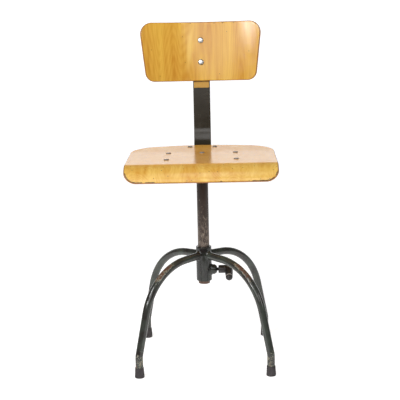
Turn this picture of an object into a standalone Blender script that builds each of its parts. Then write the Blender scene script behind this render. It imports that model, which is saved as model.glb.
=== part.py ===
"""Height-adjustable workshop chair: bent-tube base, clamped column, plywood seat and backrest.

Metres, +Z up, the sitter faces -Y. The pieces are placed round the column's axis, and the finished
chair is then moved so that the middle of its footprint lies on the origin.
"""

import math

import bmesh
import bpy
from mathutils import Vector

# Clearances.
CONTACT_GAP = 0.0003
RUNNING_GAP = 0.0003

# Column and hub.
COLUMN_DIAMETER = 0.032
COLUMN_WALL = 0.0025
COLUMN_CHAMFER = 0.0015
COLUMN_TAIL = 0.009
BUSH_WALL = 0.0025
BUSH_FLANGE = 0.003
UPPER_BUSH_LENGTH = 0.040
LOWER_BUSH_LENGTH = 0.014
HUB_WALL = 0.0025
HUB_ABOVE_LEGS = 0.0215
HUB_BELOW_LEGS = 0.0725

# Legs and feet.
LEG_DIAMETER = 0.021
LEG_WALL = 0.0015
LEG_REACH = 0.249
LEG_ROOT_HEIGHT = 0.2935
LEG_ROOT_RISE = math.radians(-3.3)
LEG_ROOT_STRAIGHT = 0.050
LEG_BEND_RADIUS = 0.1625
LEG_FOOT_STRAIGHT = 0.058
LEG_FOOT_BEND_RADIUS = 0.040
LEG_SPREAD = math.radians(45)
FOOT_HEIGHT = 0.028
FOOT_SOLE = 0.006
FOOT_RUBBER = 0.001
FOOT_FLARE = 0.0015
FOOT_EDGE = 0.0025

# Clamp on the right of the hub.
CLAMP_ABOVE_HUB_FOOT = 0.030
CLAMP_SCREW_DIAMETER = 0.010
CLAMP_SPIGOT_DIAMETER = 0.005
CLAMP_SPIGOT_LENGTH = 0.002
CLAMP_PAD_SLACK = 0.001
CLAMP_PAD_LENGTH = 0.005
CLAMP_NECK = 0.004
BOSS_WALL = 0.0087
BOSS_NOSE_WALL = 0.004
BOSS_SHOULDER = 0.008
BOSS_NOSE = 0.0065
LEVER_WALL = 0.006
LEVER_HUB_LENGTH = 0.016
LEVER_BORE_END = 0.004
LEVER_ELBOW_INSIDE = 0.002
LEVER_ARM_DIAMETER = 0.0195
LEVER_ARM_STRAIGHT = 0.027
LEVER_DROOP = math.radians(20)

# Seat, pressed from one sheet of plywood.
SEAT_HEIGHT = 0.571
SEAT_THICKNESS = 0.010
SEAT_WIDTH = 0.403
SEAT_REAR_WIDTH = 0.4125
SEAT_FLAT_FRONT = 0.136
SEAT_LIP_RADIUS = 0.050
SEAT_LIP_TURN = math.radians(84)
SEAT_FLAT_REAR = 0.075
SEAT_RISE_RADIUS = 0.600
SEAT_RISE_TURN = math.radians(3.6)
SEAT_REAR_STRAIGHT = 0.094
SEAT_REAR_BOW = 0.039
SEAT_REAR_BOW_RADIUS = 0.570
SEAT_FRONT_CORNER = 0.034
SEAT_REAR_CORNER = 0.088

# Plate and socket under the seat.
PLATE_THICKNESS = 0.004
PLATE_MARGIN = 0.016
PLATE_CORNER = 0.014
SEAT_BOLT_HALF_WIDTH = 0.094
SEAT_BOLT_HALF_DEPTH = 0.065
SOCKET_WALL = 0.005
SOCKET_LENGTH = 0.024
SOCKET_FLANGE_WIDTH = 0.0055
SOCKET_FLANGE = 0.004

# Back strap, which slides on a slot, and the keeper that guides it.
STRAP_WIDTH = 0.050
STRAP_THICKNESS = 0.005
STRAP_TRAVEL = 0.012
STRAP_END_MARGIN = 0.008
STRAP_TUCK = 0.032
STRAP_BEND_RADIUS = 0.072
STRAP_RECLINE = math.radians(4)
STRAP_ABOVE_BOLT = 0.022
STRAP_END_CORNER = 0.006
KEEPER_FROM_REAR = 0.042
KEEPER_THICKNESS = 0.0025
KEEPER_DEPTH = 0.018
KEEPER_BEND_RADIUS = 0.0015
KEEPER_SIDE_GAP = 0.001
KEEPER_BOLT_EDGE = 0.0075
KEEPER_MARGIN = 0.009
KEEPER_CORNER = 0.003

# Backrest, pressed from one sheet of plywood.
BACK_ABOVE_SEAT = 0.2745
BACK_HEIGHT = 0.172
BACK_TOP_WIDTH = 0.3635
BACK_BOTTOM_WIDTH = 0.324
BACK_THICKNESS = 0.009
BACK_CURVE_RADIUS = 0.450
BACK_TOP_CORNER = 0.034
BACK_BOTTOM_CORNER = 0.028
BACK_BOLT_SPACING = 0.064
BACK_BOLT_RISE = 0.001

# Blank plate below the backrest.
LABEL_SIDE_MARGIN = 0.0025
LABEL_HEIGHT = 0.018
LABEL_THICKNESS = 0.0006
LABEL_CORNER = 0.002
LABEL_BELOW_BACK = 0.0015

# M6 coach bolts, nuts and washers. The seat's bolts have a smaller and flatter head.
BOLT_DIAMETER = 0.006
BOLT_HEAD_DIAMETER = 0.0165
BOLT_HEAD_HEIGHT = 0.0038
SEAT_BOLT_HEAD_DIAMETER = 0.0138
SEAT_BOLT_HEAD_HEIGHT = 0.0026
BOLT_TAIL = 0.002
NUT_WALL = 0.0024
NUT_HEIGHT = 0.005
WASHER_WALL = 0.0037
WASHER_THICKNESS = 0.0012

# How finely round stretches are drawn.
ROUND_STEPS = 32
FOOT_STEPS = 20
FASTENER_STEPS = 12
HEX_SIDES = 6
DOME_STEPS = 4
TUBE_BEVEL_RESOLUTION = 4
LEG_STEP = math.radians(9)
BEND_STEP = math.radians(9)
KEEPER_BEND_STEP = math.radians(30)
BACK_CURVE_STEP = math.radians(4)
SEAT_RISE_STEP = math.radians(1.2)
LEVER_DOME_STEP = math.radians(20)
LEVER_DOME_END = math.radians(10)
CORNER_STEP = math.radians(18)
OVERCUT = 0.004
MERGE_DISTANCE = 0.00002

# Places worked out from the sizes above.
COLUMN_RADIUS = COLUMN_DIAMETER / 2
BUSH_INNER_RADIUS = COLUMN_RADIUS + RUNNING_GAP
BUSH_OUTER_RADIUS = BUSH_INNER_RADIUS + BUSH_WALL
HUB_BORE_RADIUS = BUSH_OUTER_RADIUS + RUNNING_GAP
HUB_RADIUS = HUB_BORE_RADIUS + HUB_WALL
HUB_FOOT = LEG_ROOT_HEIGHT - HUB_BELOW_LEGS
HUB_TOP = LEG_ROOT_HEIGHT + HUB_ABOVE_LEGS
CLAMP_HEIGHT = HUB_FOOT + CLAMP_ABOVE_HUB_FOOT
CLAMP_BORE_RADIUS = CLAMP_SCREW_DIAMETER / 2 + RUNNING_GAP
COLUMN_FOOT = HUB_FOOT - COLUMN_TAIL
SEAT_UNDERSIDE = SEAT_HEIGHT - SEAT_THICKNESS
SEAT_REAR_LENGTH = SEAT_FLAT_REAR + SEAT_RISE_RADIUS * SEAT_RISE_TURN + SEAT_REAR_STRAIGHT
BACK_MIDDLE_HEIGHT = SEAT_HEIGHT + BACK_ABOVE_SEAT
PLATE_TOP = SEAT_UNDERSIDE - CONTACT_GAP
PLATE_UNDERSIDE = PLATE_TOP - PLATE_THICKNESS
STRAP_TOP = PLATE_UNDERSIDE - CONTACT_GAP
STRAP_UNDERSIDE = STRAP_TOP - STRAP_THICKNESS
STRAP_BEND_TURN = math.pi / 2 - STRAP_RECLINE
BOLT_HOLE_RADIUS = BOLT_DIAMETER / 2 + CONTACT_GAP
ALONG_X = (0, math.pi / 2, 0)
CORNERS = {
    "front_left": (-1, -1),
    "front_right": (1, -1),
    "rear_right": (1, 1),
    "rear_left": (-1, 1),
}


# Scene, materials and placing.


def clear_scene():
    for obj in list(bpy.data.objects):
        bpy.data.objects.remove(obj, do_unlink=True)


def new_collection(name):
    collection = bpy.data.collections.new(name)
    bpy.context.scene.collection.children.link(collection)
    return collection


def finish(name, colour, roughness, metallic=0.0):
    material = bpy.data.materials.new(name)
    material.use_nodes = True
    shader = material.node_tree.nodes["Principled BSDF"]
    shader.inputs["Base Color"].default_value = (*colour, 1.0)
    shader.inputs["Roughness"].default_value = roughness
    shader.inputs["Metallic"].default_value = metallic
    return material


def frame_at(name, parent, location, tilt=0.0):
    """An empty to hang pieces on, tipped about X."""
    frame = bpy.data.objects.new(name, None)
    PARTS.objects.link(frame)
    frame.parent = parent
    frame.location = location
    frame.rotation_euler.x = tilt
    return frame


def add_part(name, data, material, parent, location=(0, 0, 0), rotation=(0, 0, 0)):
    obj = bpy.data.objects.new(name, data)
    PARTS.objects.link(obj)
    data.materials.append(material)
    obj.parent = parent
    obj.location = location
    obj.rotation_euler = rotation
    return obj


def make_cutter(obj):
    """Hides an object that only cuts others."""
    for collection in list(obj.users_collection):
        collection.objects.unlink(obj)
    CUTTERS.objects.link(obj)
    obj.hide_render = True
    obj.display_type = "WIRE"
    return obj


def cut(obj, cutter):
    modifier = obj.modifiers.new("cut_" + cutter.name, "BOOLEAN")
    modifier.operation = "DIFFERENCE"
    modifier.solver = "EXACT"
    modifier.object = cutter


def mesh_from_curve(curve_object):
    """Swaps a curve object for a welded mesh object in the same place."""
    bpy.context.view_layer.update()
    graph = bpy.context.evaluated_depsgraph_get()
    mesh = bpy.data.meshes.new_from_object(curve_object.evaluated_get(graph))
    work = bmesh.new()
    work.from_mesh(mesh)
    bmesh.ops.remove_doubles(work, verts=work.verts, dist=MERGE_DISTANCE)
    bmesh.ops.recalc_face_normals(work, faces=work.faces)
    work.to_mesh(mesh)
    work.free()
    name = curve_object.name
    solid = bpy.data.objects.new(name + "_mesh", mesh)
    PARTS.objects.link(solid)
    solid.parent = curve_object.parent
    solid.location = curve_object.location
    solid.rotation_euler = curve_object.rotation_euler
    bpy.data.objects.remove(curve_object, do_unlink=True)
    solid.name = name
    return solid


# Shapes.


def arc(centre, radius, start, end, step):
    """Points on an arc, both ends included."""
    count = max(1, math.ceil(abs(end - start) / step - 1e-9))
    angles = [start + (end - start) * i / count for i in range(count + 1)]
    return [(centre[0] + radius * math.cos(a), centre[1] + radius * math.sin(a)) for a in angles]


def rounded_outline(corners):
    """Outline through (x, y, radius) corners, anticlockwise, each rounded on its radius."""
    points = []
    for i, (x, y, radius) in enumerate(corners):
        here = Vector((x, y))
        before = (Vector(corners[i - 1][:2]) - here).normalized()
        after = (Vector(corners[(i + 1) % len(corners)][:2]) - here).normalized()
        half = before.angle(after) / 2
        centre = here + (before + after).normalized() * radius / math.sin(half)
        first = here + before * radius / math.tan(half) - centre
        start = math.atan2(first.y, first.x)
        sweep = math.pi - 2 * half
        points += arc(centre, radius, start, start + sweep, min(CORNER_STEP, sweep / 3))
    return points


def rectangle(half_x, half_y, radius):
    return rounded_outline([
        (-half_x, -half_y, radius),
        (half_x, -half_y, radius),
        (half_x, half_y, radius),
        (-half_x, half_y, radius),
    ])


def polygon(radius, sides, centre=(0, 0)):
    return arc(centre, radius, 0, 2 * math.pi, 2 * math.pi / sides)[:-1]


def flat_plate(name, loops, thickness, material, parent, location):
    """Plate from an outline and its holes, its thickness centred on the location."""
    curve = bpy.data.curves.new(name, "CURVE")
    curve.dimensions = "2D"
    curve.fill_mode = "BOTH"
    curve.extrude = thickness / 2
    for loop in loops:
        spline = curve.splines.new("POLY")
        spline.points.add(len(loop) - 1)
        for point, (x, y) in zip(spline.points, loop):
            point.co = (x, y, 0, 1)
        spline.use_cyclic_u = True
    return mesh_from_curve(add_part(name, curve, material, parent, location))


def turned(name, profile, material, parent, location=(0, 0, 0), rotation=(0, 0, 0),
           closed=False, steps=ROUND_STEPS):
    """Turned piece from (radius, height) points that run down the outer side.

    A closed profile is a ring. An open one starts and ends on the axis.
    """
    mesh = bpy.data.meshes.new(name)
    edges = [(i, i + 1) for i in range(len(profile) - 1)]
    if closed:
        edges.append((len(profile) - 1, 0))
    mesh.from_pydata([(radius, 0, height) for radius, height in profile], edges, [])
    obj = add_part(name, mesh, material, parent, location, rotation)
    screw = obj.modifiers.new("turn", "SCREW")
    screw.axis = "Z"
    screw.steps = steps
    screw.render_steps = steps
    screw.use_merge_vertices = True
    screw.merge_threshold = MERGE_DISTANCE
    screw.use_smooth_shade = True
    return obj


def bar_along(name, points, radius, material, parent, shares=None):
    """Round bar along a line of points, with a share of the radius at each point if it tapers."""
    curve = bpy.data.curves.new(name, "CURVE")
    curve.dimensions = "3D"
    curve.bevel_depth = radius
    curve.bevel_resolution = TUBE_BEVEL_RESOLUTION
    curve.use_fill_caps = True
    spline = curve.splines.new("POLY")
    spline.points.add(len(points) - 1)
    for i, point in enumerate(points):
        spline.points[i].co = (*point, 1)
        spline.points[i].radius = shares[i] if shares else 1.0
    return mesh_from_curve(add_part(name, curve, material, parent))


def drill(name, parent, radius, length, location=(0, 0, 0), rotation=(0, 0, 0), steps=FASTENER_STEPS):
    """Cylinder that cuts a round hole, centred on its location, along its own Z."""
    bpy.ops.mesh.primitive_cylinder_add(vertices=steps, radius=radius, depth=length)
    cutter = bpy.context.object
    cutter.name = name
    cutter.parent = parent
    cutter.location = location
    cutter.rotation_euler = rotation
    return make_cutter(cutter)


def bent_path(start, heading, runs, step=BEND_STEP):
    """Stations (distance, point) along straight runs and arcs, given as (length, turn)."""
    distance = 0.0
    point = Vector(start)
    stations = [(distance, point.copy())]
    for length, turn in runs:
        count = max(1, math.ceil(abs(turn) / step - 1e-9))
        half = turn / count / 2
        chord = length / count
        if turn:
            chord *= math.sin(half) / half
        for _ in range(count):
            heading += half
            point += chord * Vector((math.cos(heading), math.sin(heading)))
            heading += half
            distance += length / count
            stations.append((distance, point.copy()))
    return stations


def joined_paths(backward, forward):
    """One path from two that leave the same point in opposite directions."""
    return [(-distance, point) for distance, point in backward[:0:-1]] + forward


def on_path(stations, distance):
    """The point of a path at a distance along it."""
    for (d0, p0), (d1, p1) in zip(stations, stations[1:]):
        if distance <= d1 or d1 == stations[-1][0]:
            return p0 + (p1 - p0) * (distance - d0) / (d1 - d0)


def pressed_sheet(name, outline, stations, place, thickness, material, parent):
    """Sheet cut to a flat outline of (across, along) points, then bent along a path.

    place turns an across value and a point of the path into a 3-D point. The thickness grows on
    the side away from the sheet's normals.
    """
    work = bmesh.new()
    work.faces.new([work.verts.new((across, along, 0)) for across, along in outline])
    for distance, _ in stations[1:-1]:
        geometry = work.verts[:] + work.edges[:] + work.faces[:]
        bmesh.ops.bisect_plane(
            work, geom=geometry, dist=MERGE_DISTANCE, plane_co=(0, distance, 0), plane_no=(0, 1, 0)
        )
    for vertex in work.verts:
        vertex.co = place(vertex.co.x, on_path(stations, vertex.co.y))
    mesh = bpy.data.meshes.new(name)
    work.to_mesh(mesh)
    work.free()
    obj = add_part(name, mesh, material, parent)
    solidify = obj.modifiers.new("sheet", "SOLIDIFY")
    solidify.thickness = thickness
    solidify.offset = -1
    solidify.use_even_offset = True
    return obj


# Fasteners.


def bolt_set(group, suffix, frame, grip, head_diameter, head_height, washer=True):
    """Coach bolt, washer and nut through a stack, and the cutter for its hole.

    The frame lies on the face under the bolt's head, with +Z out of that face. The grip is the
    stack's thickness.
    """
    radius = BOLT_DIAMETER / 2
    head = head_diameter / 2
    dome_radius = (head ** 2 + head_height ** 2) / (2 * head_height)
    dome_centre = CONTACT_GAP + head_height - dome_radius
    rim = math.asin((CONTACT_GAP - dome_centre) / dome_radius)
    dome = arc((0, dome_centre), dome_radius, math.pi / 2, rim, (math.pi / 2 - rim) / DOME_STEPS)
    washer_foot = grip
    if washer:
        washer_foot += CONTACT_GAP + WASHER_THICKNESS
        flat_plate(
            group + "_washer" + suffix,
            [
                polygon(BOLT_HOLE_RADIUS + WASHER_WALL, FASTENER_STEPS),
                polygon(BOLT_HOLE_RADIUS, FASTENER_STEPS),
            ],
            WASHER_THICKNESS, ZINC, frame, (0, 0, WASHER_THICKNESS / 2 - washer_foot),
        )
    nut_foot = washer_foot + CONTACT_GAP + NUT_HEIGHT
    hex_radius = (BOLT_HOLE_RADIUS + NUT_WALL) / math.cos(math.pi / HEX_SIDES)
    flat_plate(
        group + "_nut" + suffix,
        [polygon(hex_radius, HEX_SIDES), polygon(BOLT_HOLE_RADIUS, FASTENER_STEPS)],
        NUT_HEIGHT, ZINC, frame, (0, 0, NUT_HEIGHT / 2 - nut_foot),
    )
    tip = -nut_foot - BOLT_TAIL
    turned(
        group + "_bolt" + suffix,
        [(0, dome[0][1]), *dome[1:], (radius, CONTACT_GAP), (radius, tip), (0, tip)],
        ZINC, frame, steps=FASTENER_STEPS,
    )
    return drill(group + "_hole" + suffix, frame, BOLT_HOLE_RADIUS, 2 * (grip + OVERCUT))


# Base: hub, legs, feet and clamp.


def leg_line():
    """Leg centreline as (distance from the column's axis, height), hub to floor."""
    root = Vector((HUB_RADIUS, LEG_ROOT_HEIGHT))
    rise = Vector((math.cos(LEG_ROOT_RISE), math.sin(LEG_ROOT_RISE)))
    half_way = root + rise * LEG_ROOT_STRAIGHT / 2
    centre = root + rise * LEG_ROOT_STRAIGHT + LEG_BEND_RADIUS * Vector((rise.y, -rise.x))
    knee = Vector((LEG_REACH, LEG_FOOT_STRAIGHT))
    towards = knee - centre
    splay = math.atan2(towards.y, towards.x) + math.acos(LEG_BEND_RADIUS / towards.length)
    upper_bend = arc(centre, LEG_BEND_RADIUS, math.pi / 2 + LEG_ROOT_RISE, splay, LEG_STEP)
    setback = LEG_FOOT_BEND_RADIUS * math.tan(splay / 2)
    foot_centre = (LEG_REACH - LEG_FOOT_BEND_RADIUS, LEG_FOOT_STRAIGHT - setback)
    lower_bend = arc(foot_centre, LEG_FOOT_BEND_RADIUS, splay, 0, LEG_STEP)
    inside = root - rise * HUB_WALL
    return [tuple(inside), tuple(half_way), *upper_bend, *lower_bend, (LEG_REACH, FOOT_SOLE + CONTACT_GAP)]


def make_legs(root, cope):
    line = leg_line()
    for name, (side, end) in CORNERS.items():
        heading = Vector((side * math.cos(LEG_SPREAD), end * math.sin(LEG_SPREAD), 0))
        route = [heading * out + Vector((0, 0, height)) for out, height in line]
        leg = bar_along("leg_" + name, route, LEG_DIAMETER / 2, GREEN_ENAMEL, root)
        cut(leg, cope)
        open_end = route[-1] - Vector((0, 0, OVERCUT))
        bore = bar_along("bore_" + name, [*route[1:-1], open_end], LEG_DIAMETER / 2 - LEG_WALL,
                         GREEN_ENAMEL, root)
        cut(leg, make_cutter(bore))
        make_foot("foot_" + name, root, heading * LEG_REACH)


def make_foot(name, root, place):
    """Rubber ferrule pushed over the end of a leg."""
    bore = LEG_DIAMETER / 2 + CONTACT_GAP
    rim = bore + FOOT_RUBBER
    base = rim + FOOT_FLARE
    round_edge = arc((base - FOOT_EDGE, FOOT_EDGE), FOOT_EDGE, 0, -math.pi / 2, math.pi / 4)
    turned(
        name,
        [(0, FOOT_SOLE), (bore, FOOT_SOLE), (bore, FOOT_HEIGHT), (rim, FOOT_HEIGHT), *round_edge, (0, 0)],
        BLACK_RUBBER, root, place, steps=FOOT_STEPS,
    )


def make_hub(root, cope):
    """Hub tube with its two bushes, and the boss that the clamp screw runs in."""
    hub = turned(
        "hub_tube",
        [
            (HUB_RADIUS, HUB_TOP),
            (HUB_RADIUS, HUB_FOOT),
            (HUB_BORE_RADIUS, HUB_FOOT),
            (HUB_BORE_RADIUS, HUB_TOP),
        ],
        GREEN_ENAMEL, root, closed=True,
    )
    flange_foot = HUB_TOP + CONTACT_GAP
    flange_top = flange_foot + BUSH_FLANGE
    sleeve_foot = HUB_TOP - UPPER_BUSH_LENGTH
    turned(
        "upper_bush",
        [
            (HUB_RADIUS, flange_top),
            (HUB_RADIUS, flange_foot),
            (BUSH_OUTER_RADIUS, flange_foot),
            (BUSH_OUTER_RADIUS, sleeve_foot),
            (BUSH_INNER_RADIUS, sleeve_foot),
            (BUSH_INNER_RADIUS, flange_top),
        ],
        DARK_STEEL, root, closed=True,
    )
    bush_top = HUB_FOOT + LOWER_BUSH_LENGTH
    turned(
        "lower_bush",
        [
            (BUSH_OUTER_RADIUS, bush_top),
            (BUSH_OUTER_RADIUS, HUB_FOOT),
            (BUSH_INNER_RADIUS, HUB_FOOT),
            (BUSH_INNER_RADIUS, bush_top),
        ],
        DARK_STEEL, root, closed=True,
    )
    shoulder = HUB_RADIUS + BOSS_SHOULDER
    nose = shoulder + BOSS_NOSE
    boss = turned(
        "clamp_boss",
        [
            (CLAMP_BORE_RADIUS, nose),
            (CLAMP_BORE_RADIUS + BOSS_NOSE_WALL, nose),
            (CLAMP_BORE_RADIUS + BOSS_WALL, shoulder),
            (CLAMP_BORE_RADIUS + BOSS_WALL, 0),
            (CLAMP_BORE_RADIUS, 0),
        ],
        GREEN_ENAMEL, root, (0, 0, CLAMP_HEIGHT), ALONG_X, closed=True, steps=FOOT_STEPS,
    )
    cut(boss, cope)
    cut(hub, drill("screw_hole", root, CLAMP_BORE_RADIUS, HUB_RADIUS, (HUB_RADIUS, 0, CLAMP_HEIGHT), ALONG_X,
                   steps=FOOT_STEPS))
    return nose


def make_clamp(root, boss_nose):
    """Screw that presses a brass pad on the column, and its elbow lever."""
    axis_foot = Vector((0, 0, CLAMP_HEIGHT))
    pad_face = COLUMN_RADIUS + RUNNING_GAP
    pad_back = pad_face + CLAMP_PAD_LENGTH
    pad_socket = pad_back - CLAMP_SPIGOT_LENGTH
    pad_radius = (CLAMP_SCREW_DIAMETER - CLAMP_PAD_SLACK) / 2
    spigot = CLAMP_SPIGOT_DIAMETER / 2
    turned(
        "clamp_pad",
        [
            (0, pad_socket),
            (spigot + RUNNING_GAP, pad_socket),
            (spigot + RUNNING_GAP, pad_back),
            (pad_radius, pad_back),
            (pad_radius, pad_face),
            (0, pad_face),
        ],
        BRASS, root, axis_foot, ALONG_X, steps=FASTENER_STEPS,
    )
    lever_foot = boss_nose + CLAMP_NECK
    hub_end = lever_foot + LEVER_HUB_LENGTH
    screw_end = hub_end - LEVER_BORE_END
    turned(
        "clamp_screw",
        [
            (0, screw_end),
            (CLAMP_SCREW_DIAMETER / 2, screw_end),
            (CLAMP_SCREW_DIAMETER / 2, pad_back + CONTACT_GAP),
            (spigot, pad_back + CONTACT_GAP),
            (spigot, pad_socket + CONTACT_GAP),
            (0, pad_socket + CONTACT_GAP),
        ],
        DARK_STEEL, root, axis_foot, ALONG_X, steps=FOOT_STEPS,
    )
    lever_bore = CLAMP_SCREW_DIAMETER / 2 + CONTACT_GAP
    hub_radius = lever_bore + LEVER_WALL
    elbow_radius = hub_radius + LEVER_ELBOW_INSIDE
    arm_radius = LEVER_ARM_DIAMETER / 2
    arm_way = Vector((0, -math.cos(LEVER_DROOP), -math.sin(LEVER_DROOP)))
    elbow = arc((hub_end, elbow_radius), elbow_radius, -math.pi / 2, 0, 2 * BEND_STEP)
    dome_foot = (elbow_radius + LEVER_ARM_STRAIGHT, 0)
    dome = arc(dome_foot, arm_radius, math.pi / 2, LEVER_DOME_END, LEVER_DOME_STEP)
    line = [(lever_foot, 0, hub_radius), *((x, out, hub_radius) for x, out in elbow)]
    line += [(hub_end + elbow_radius, out, radius) for out, radius in dome]
    route = [axis_foot + Vector((x, 0, 0)) + arm_way * out for x, out, _ in line]
    lever = bar_along("clamp_lever", route, hub_radius, BLACK_LEVER, root,
                      [radius / hub_radius for _, _, radius in line])
    bore_length = screw_end + CONTACT_GAP - lever_foot
    cut(lever, drill("lever_bore", root, lever_bore, 2 * bore_length, (lever_foot, 0, CLAMP_HEIGHT), ALONG_X,
                     steps=FOOT_STEPS))


# Column, seat and what carries them.


def make_column(root):
    """Column tube, pushed into the socket under the seat plate."""
    top = PLATE_UNDERSIDE - CONTACT_GAP
    bore = COLUMN_RADIUS - COLUMN_WALL
    turned(
        "column_tube",
        [
            (COLUMN_RADIUS, top),
            (COLUMN_RADIUS, COLUMN_FOOT + COLUMN_CHAMFER),
            (COLUMN_RADIUS - COLUMN_CHAMFER, COLUMN_FOOT),
            (bore, COLUMN_FOOT),
            (bore, top),
        ],
        WORN_STEEL, root, closed=True,
    )
    socket_bore = COLUMN_RADIUS + CONTACT_GAP
    socket_outer = socket_bore + SOCKET_WALL
    flange = socket_outer + SOCKET_FLANGE_WIDTH
    turned(
        "column_socket",
        [
            (flange, top),
            (flange, top - SOCKET_FLANGE),
            (socket_outer, top - SOCKET_FLANGE),
            (socket_outer, top - SOCKET_LENGTH),
            (socket_bore, top - SOCKET_LENGTH),
            (socket_bore, top),
        ],
        DARK_STEEL, root, closed=True,
    )


def seat_path():
    """Top face of the seat in (y, z), from the lip to the rear edge, zero over the column."""
    start = (0, SEAT_HEIGHT)
    lip = bent_path(start, math.pi, [(SEAT_FLAT_FRONT, 0), (SEAT_LIP_RADIUS * SEAT_LIP_TURN, SEAT_LIP_TURN)])
    rear = bent_path(start, 0, [
        (SEAT_FLAT_REAR, 0),
        (SEAT_RISE_RADIUS * SEAT_RISE_TURN, SEAT_RISE_TURN),
        (SEAT_REAR_STRAIGHT, 0),
    ], SEAT_RISE_STEP)
    return joined_paths(lip, rear)


def make_seat(root):
    path = seat_path()
    front = path[0][0]
    front_side = SEAT_WIDTH / 2
    rear_side = SEAT_REAR_WIDTH / 2
    shoulder = SEAT_REAR_LENGTH - SEAT_REAR_BOW
    outline = rounded_outline([
        (-front_side, front, SEAT_FRONT_CORNER),
        (front_side, front, SEAT_FRONT_CORNER),
        (rear_side, shoulder, SEAT_REAR_CORNER),
        (0, SEAT_REAR_LENGTH, SEAT_REAR_BOW_RADIUS),
        (-rear_side, shoulder, SEAT_REAR_CORNER),
    ])
    return pressed_sheet("seat", outline, path, lambda x, p: (x, p.x, p.y), SEAT_THICKNESS, PLYWOOD, root)


def make_seat_plate(root, seat):
    """Steel plate under the seat, with its four bolts and the strap's clamping bolt."""
    bolts = {
        "_" + name: (x * SEAT_BOLT_HALF_WIDTH, y * SEAT_BOLT_HALF_DEPTH)
        for name, (x, y) in CORNERS.items()
    }
    strap_bolt = (0, SEAT_BOLT_HALF_DEPTH)
    half_width = SEAT_BOLT_HALF_WIDTH + PLATE_MARGIN
    half_depth = SEAT_BOLT_HALF_DEPTH + PLATE_MARGIN
    holes = [polygon(BOLT_HOLE_RADIUS, FASTENER_STEPS, place) for place in (*bolts.values(), strap_bolt)]
    flat_plate(
        "seat_plate", [rectangle(half_width, half_depth, PLATE_CORNER), *holes],
        PLATE_THICKNESS, DARK_STEEL, root, (0, 0, PLATE_TOP - PLATE_THICKNESS / 2),
    )
    for suffix, (x, y) in bolts.items():
        frame = frame_at("seat_bolt_frame" + suffix, root, (x, y, SEAT_HEIGHT))
        cut(seat, bolt_set("seat", suffix, frame, SEAT_HEIGHT - PLATE_UNDERSIDE,
                           SEAT_BOLT_HEAD_DIAMETER, SEAT_BOLT_HEAD_HEIGHT))
    frame = frame_at("strap_bolt_frame", root, (*strap_bolt, SEAT_HEIGHT))
    cut(seat, bolt_set("strap", "", frame, SEAT_HEIGHT - STRAP_UNDERSIDE,
                       SEAT_BOLT_HEAD_DIAMETER, SEAT_BOLT_HEAD_HEIGHT))


# Back strap, keeper, backrest and label.


def strap_stations():
    """Upper and front face of the strap in (y, z), and the back frame's place on it."""
    front = SEAT_BOLT_HALF_DEPTH - STRAP_TRAVEL - BOLT_HOLE_RADIUS - STRAP_END_MARGIN
    bend_start = SEAT_REAR_LENGTH - STRAP_TUCK
    bend_end = Vector((
        bend_start + STRAP_BEND_RADIUS * math.sin(STRAP_BEND_TURN),
        STRAP_TOP + STRAP_BEND_RADIUS * (1 - math.cos(STRAP_BEND_TURN)),
    ))
    to_middle = (BACK_MIDDLE_HEIGHT - bend_end.y) / math.sin(STRAP_BEND_TURN)
    middle = bend_end + to_middle * Vector((math.cos(STRAP_BEND_TURN), math.sin(STRAP_BEND_TURN)))
    past_middle = BACK_BOLT_SPACING / 2 + BACK_BOLT_RISE + STRAP_ABOVE_BOLT
    stations = bent_path((front, STRAP_TOP), 0, [
        (bend_start - front, 0),
        (STRAP_BEND_RADIUS * STRAP_BEND_TURN, STRAP_BEND_TURN),
        (to_middle + past_middle, 0),
    ])
    return stations, middle


def make_strap(root, stations):
    """Flat steel bar, slotted for the clamping bolt and bent up behind the seat."""
    length = stations[-1][0]
    outline = [
        (x, along + length / 2) for x, along in rectangle(STRAP_WIDTH / 2, length / 2, STRAP_END_CORNER)
    ]
    strap = pressed_sheet("back_strap", outline, stations, lambda x, p: (x, p.x, p.y), STRAP_THICKNESS,
                          STRAP_ENAMEL, root)
    slot = flat_plate(
        "strap_slot",
        [rectangle(BOLT_HOLE_RADIUS, STRAP_TRAVEL + BOLT_HOLE_RADIUS, BOLT_HOLE_RADIUS - MERGE_DISTANCE)],
        STRAP_THICKNESS + 2 * OVERCUT, STRAP_ENAMEL, root,
        (0, SEAT_BOLT_HALF_DEPTH, (STRAP_TOP + STRAP_UNDERSIDE) / 2),
    )
    cut(strap, make_cutter(slot))
    return strap


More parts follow.
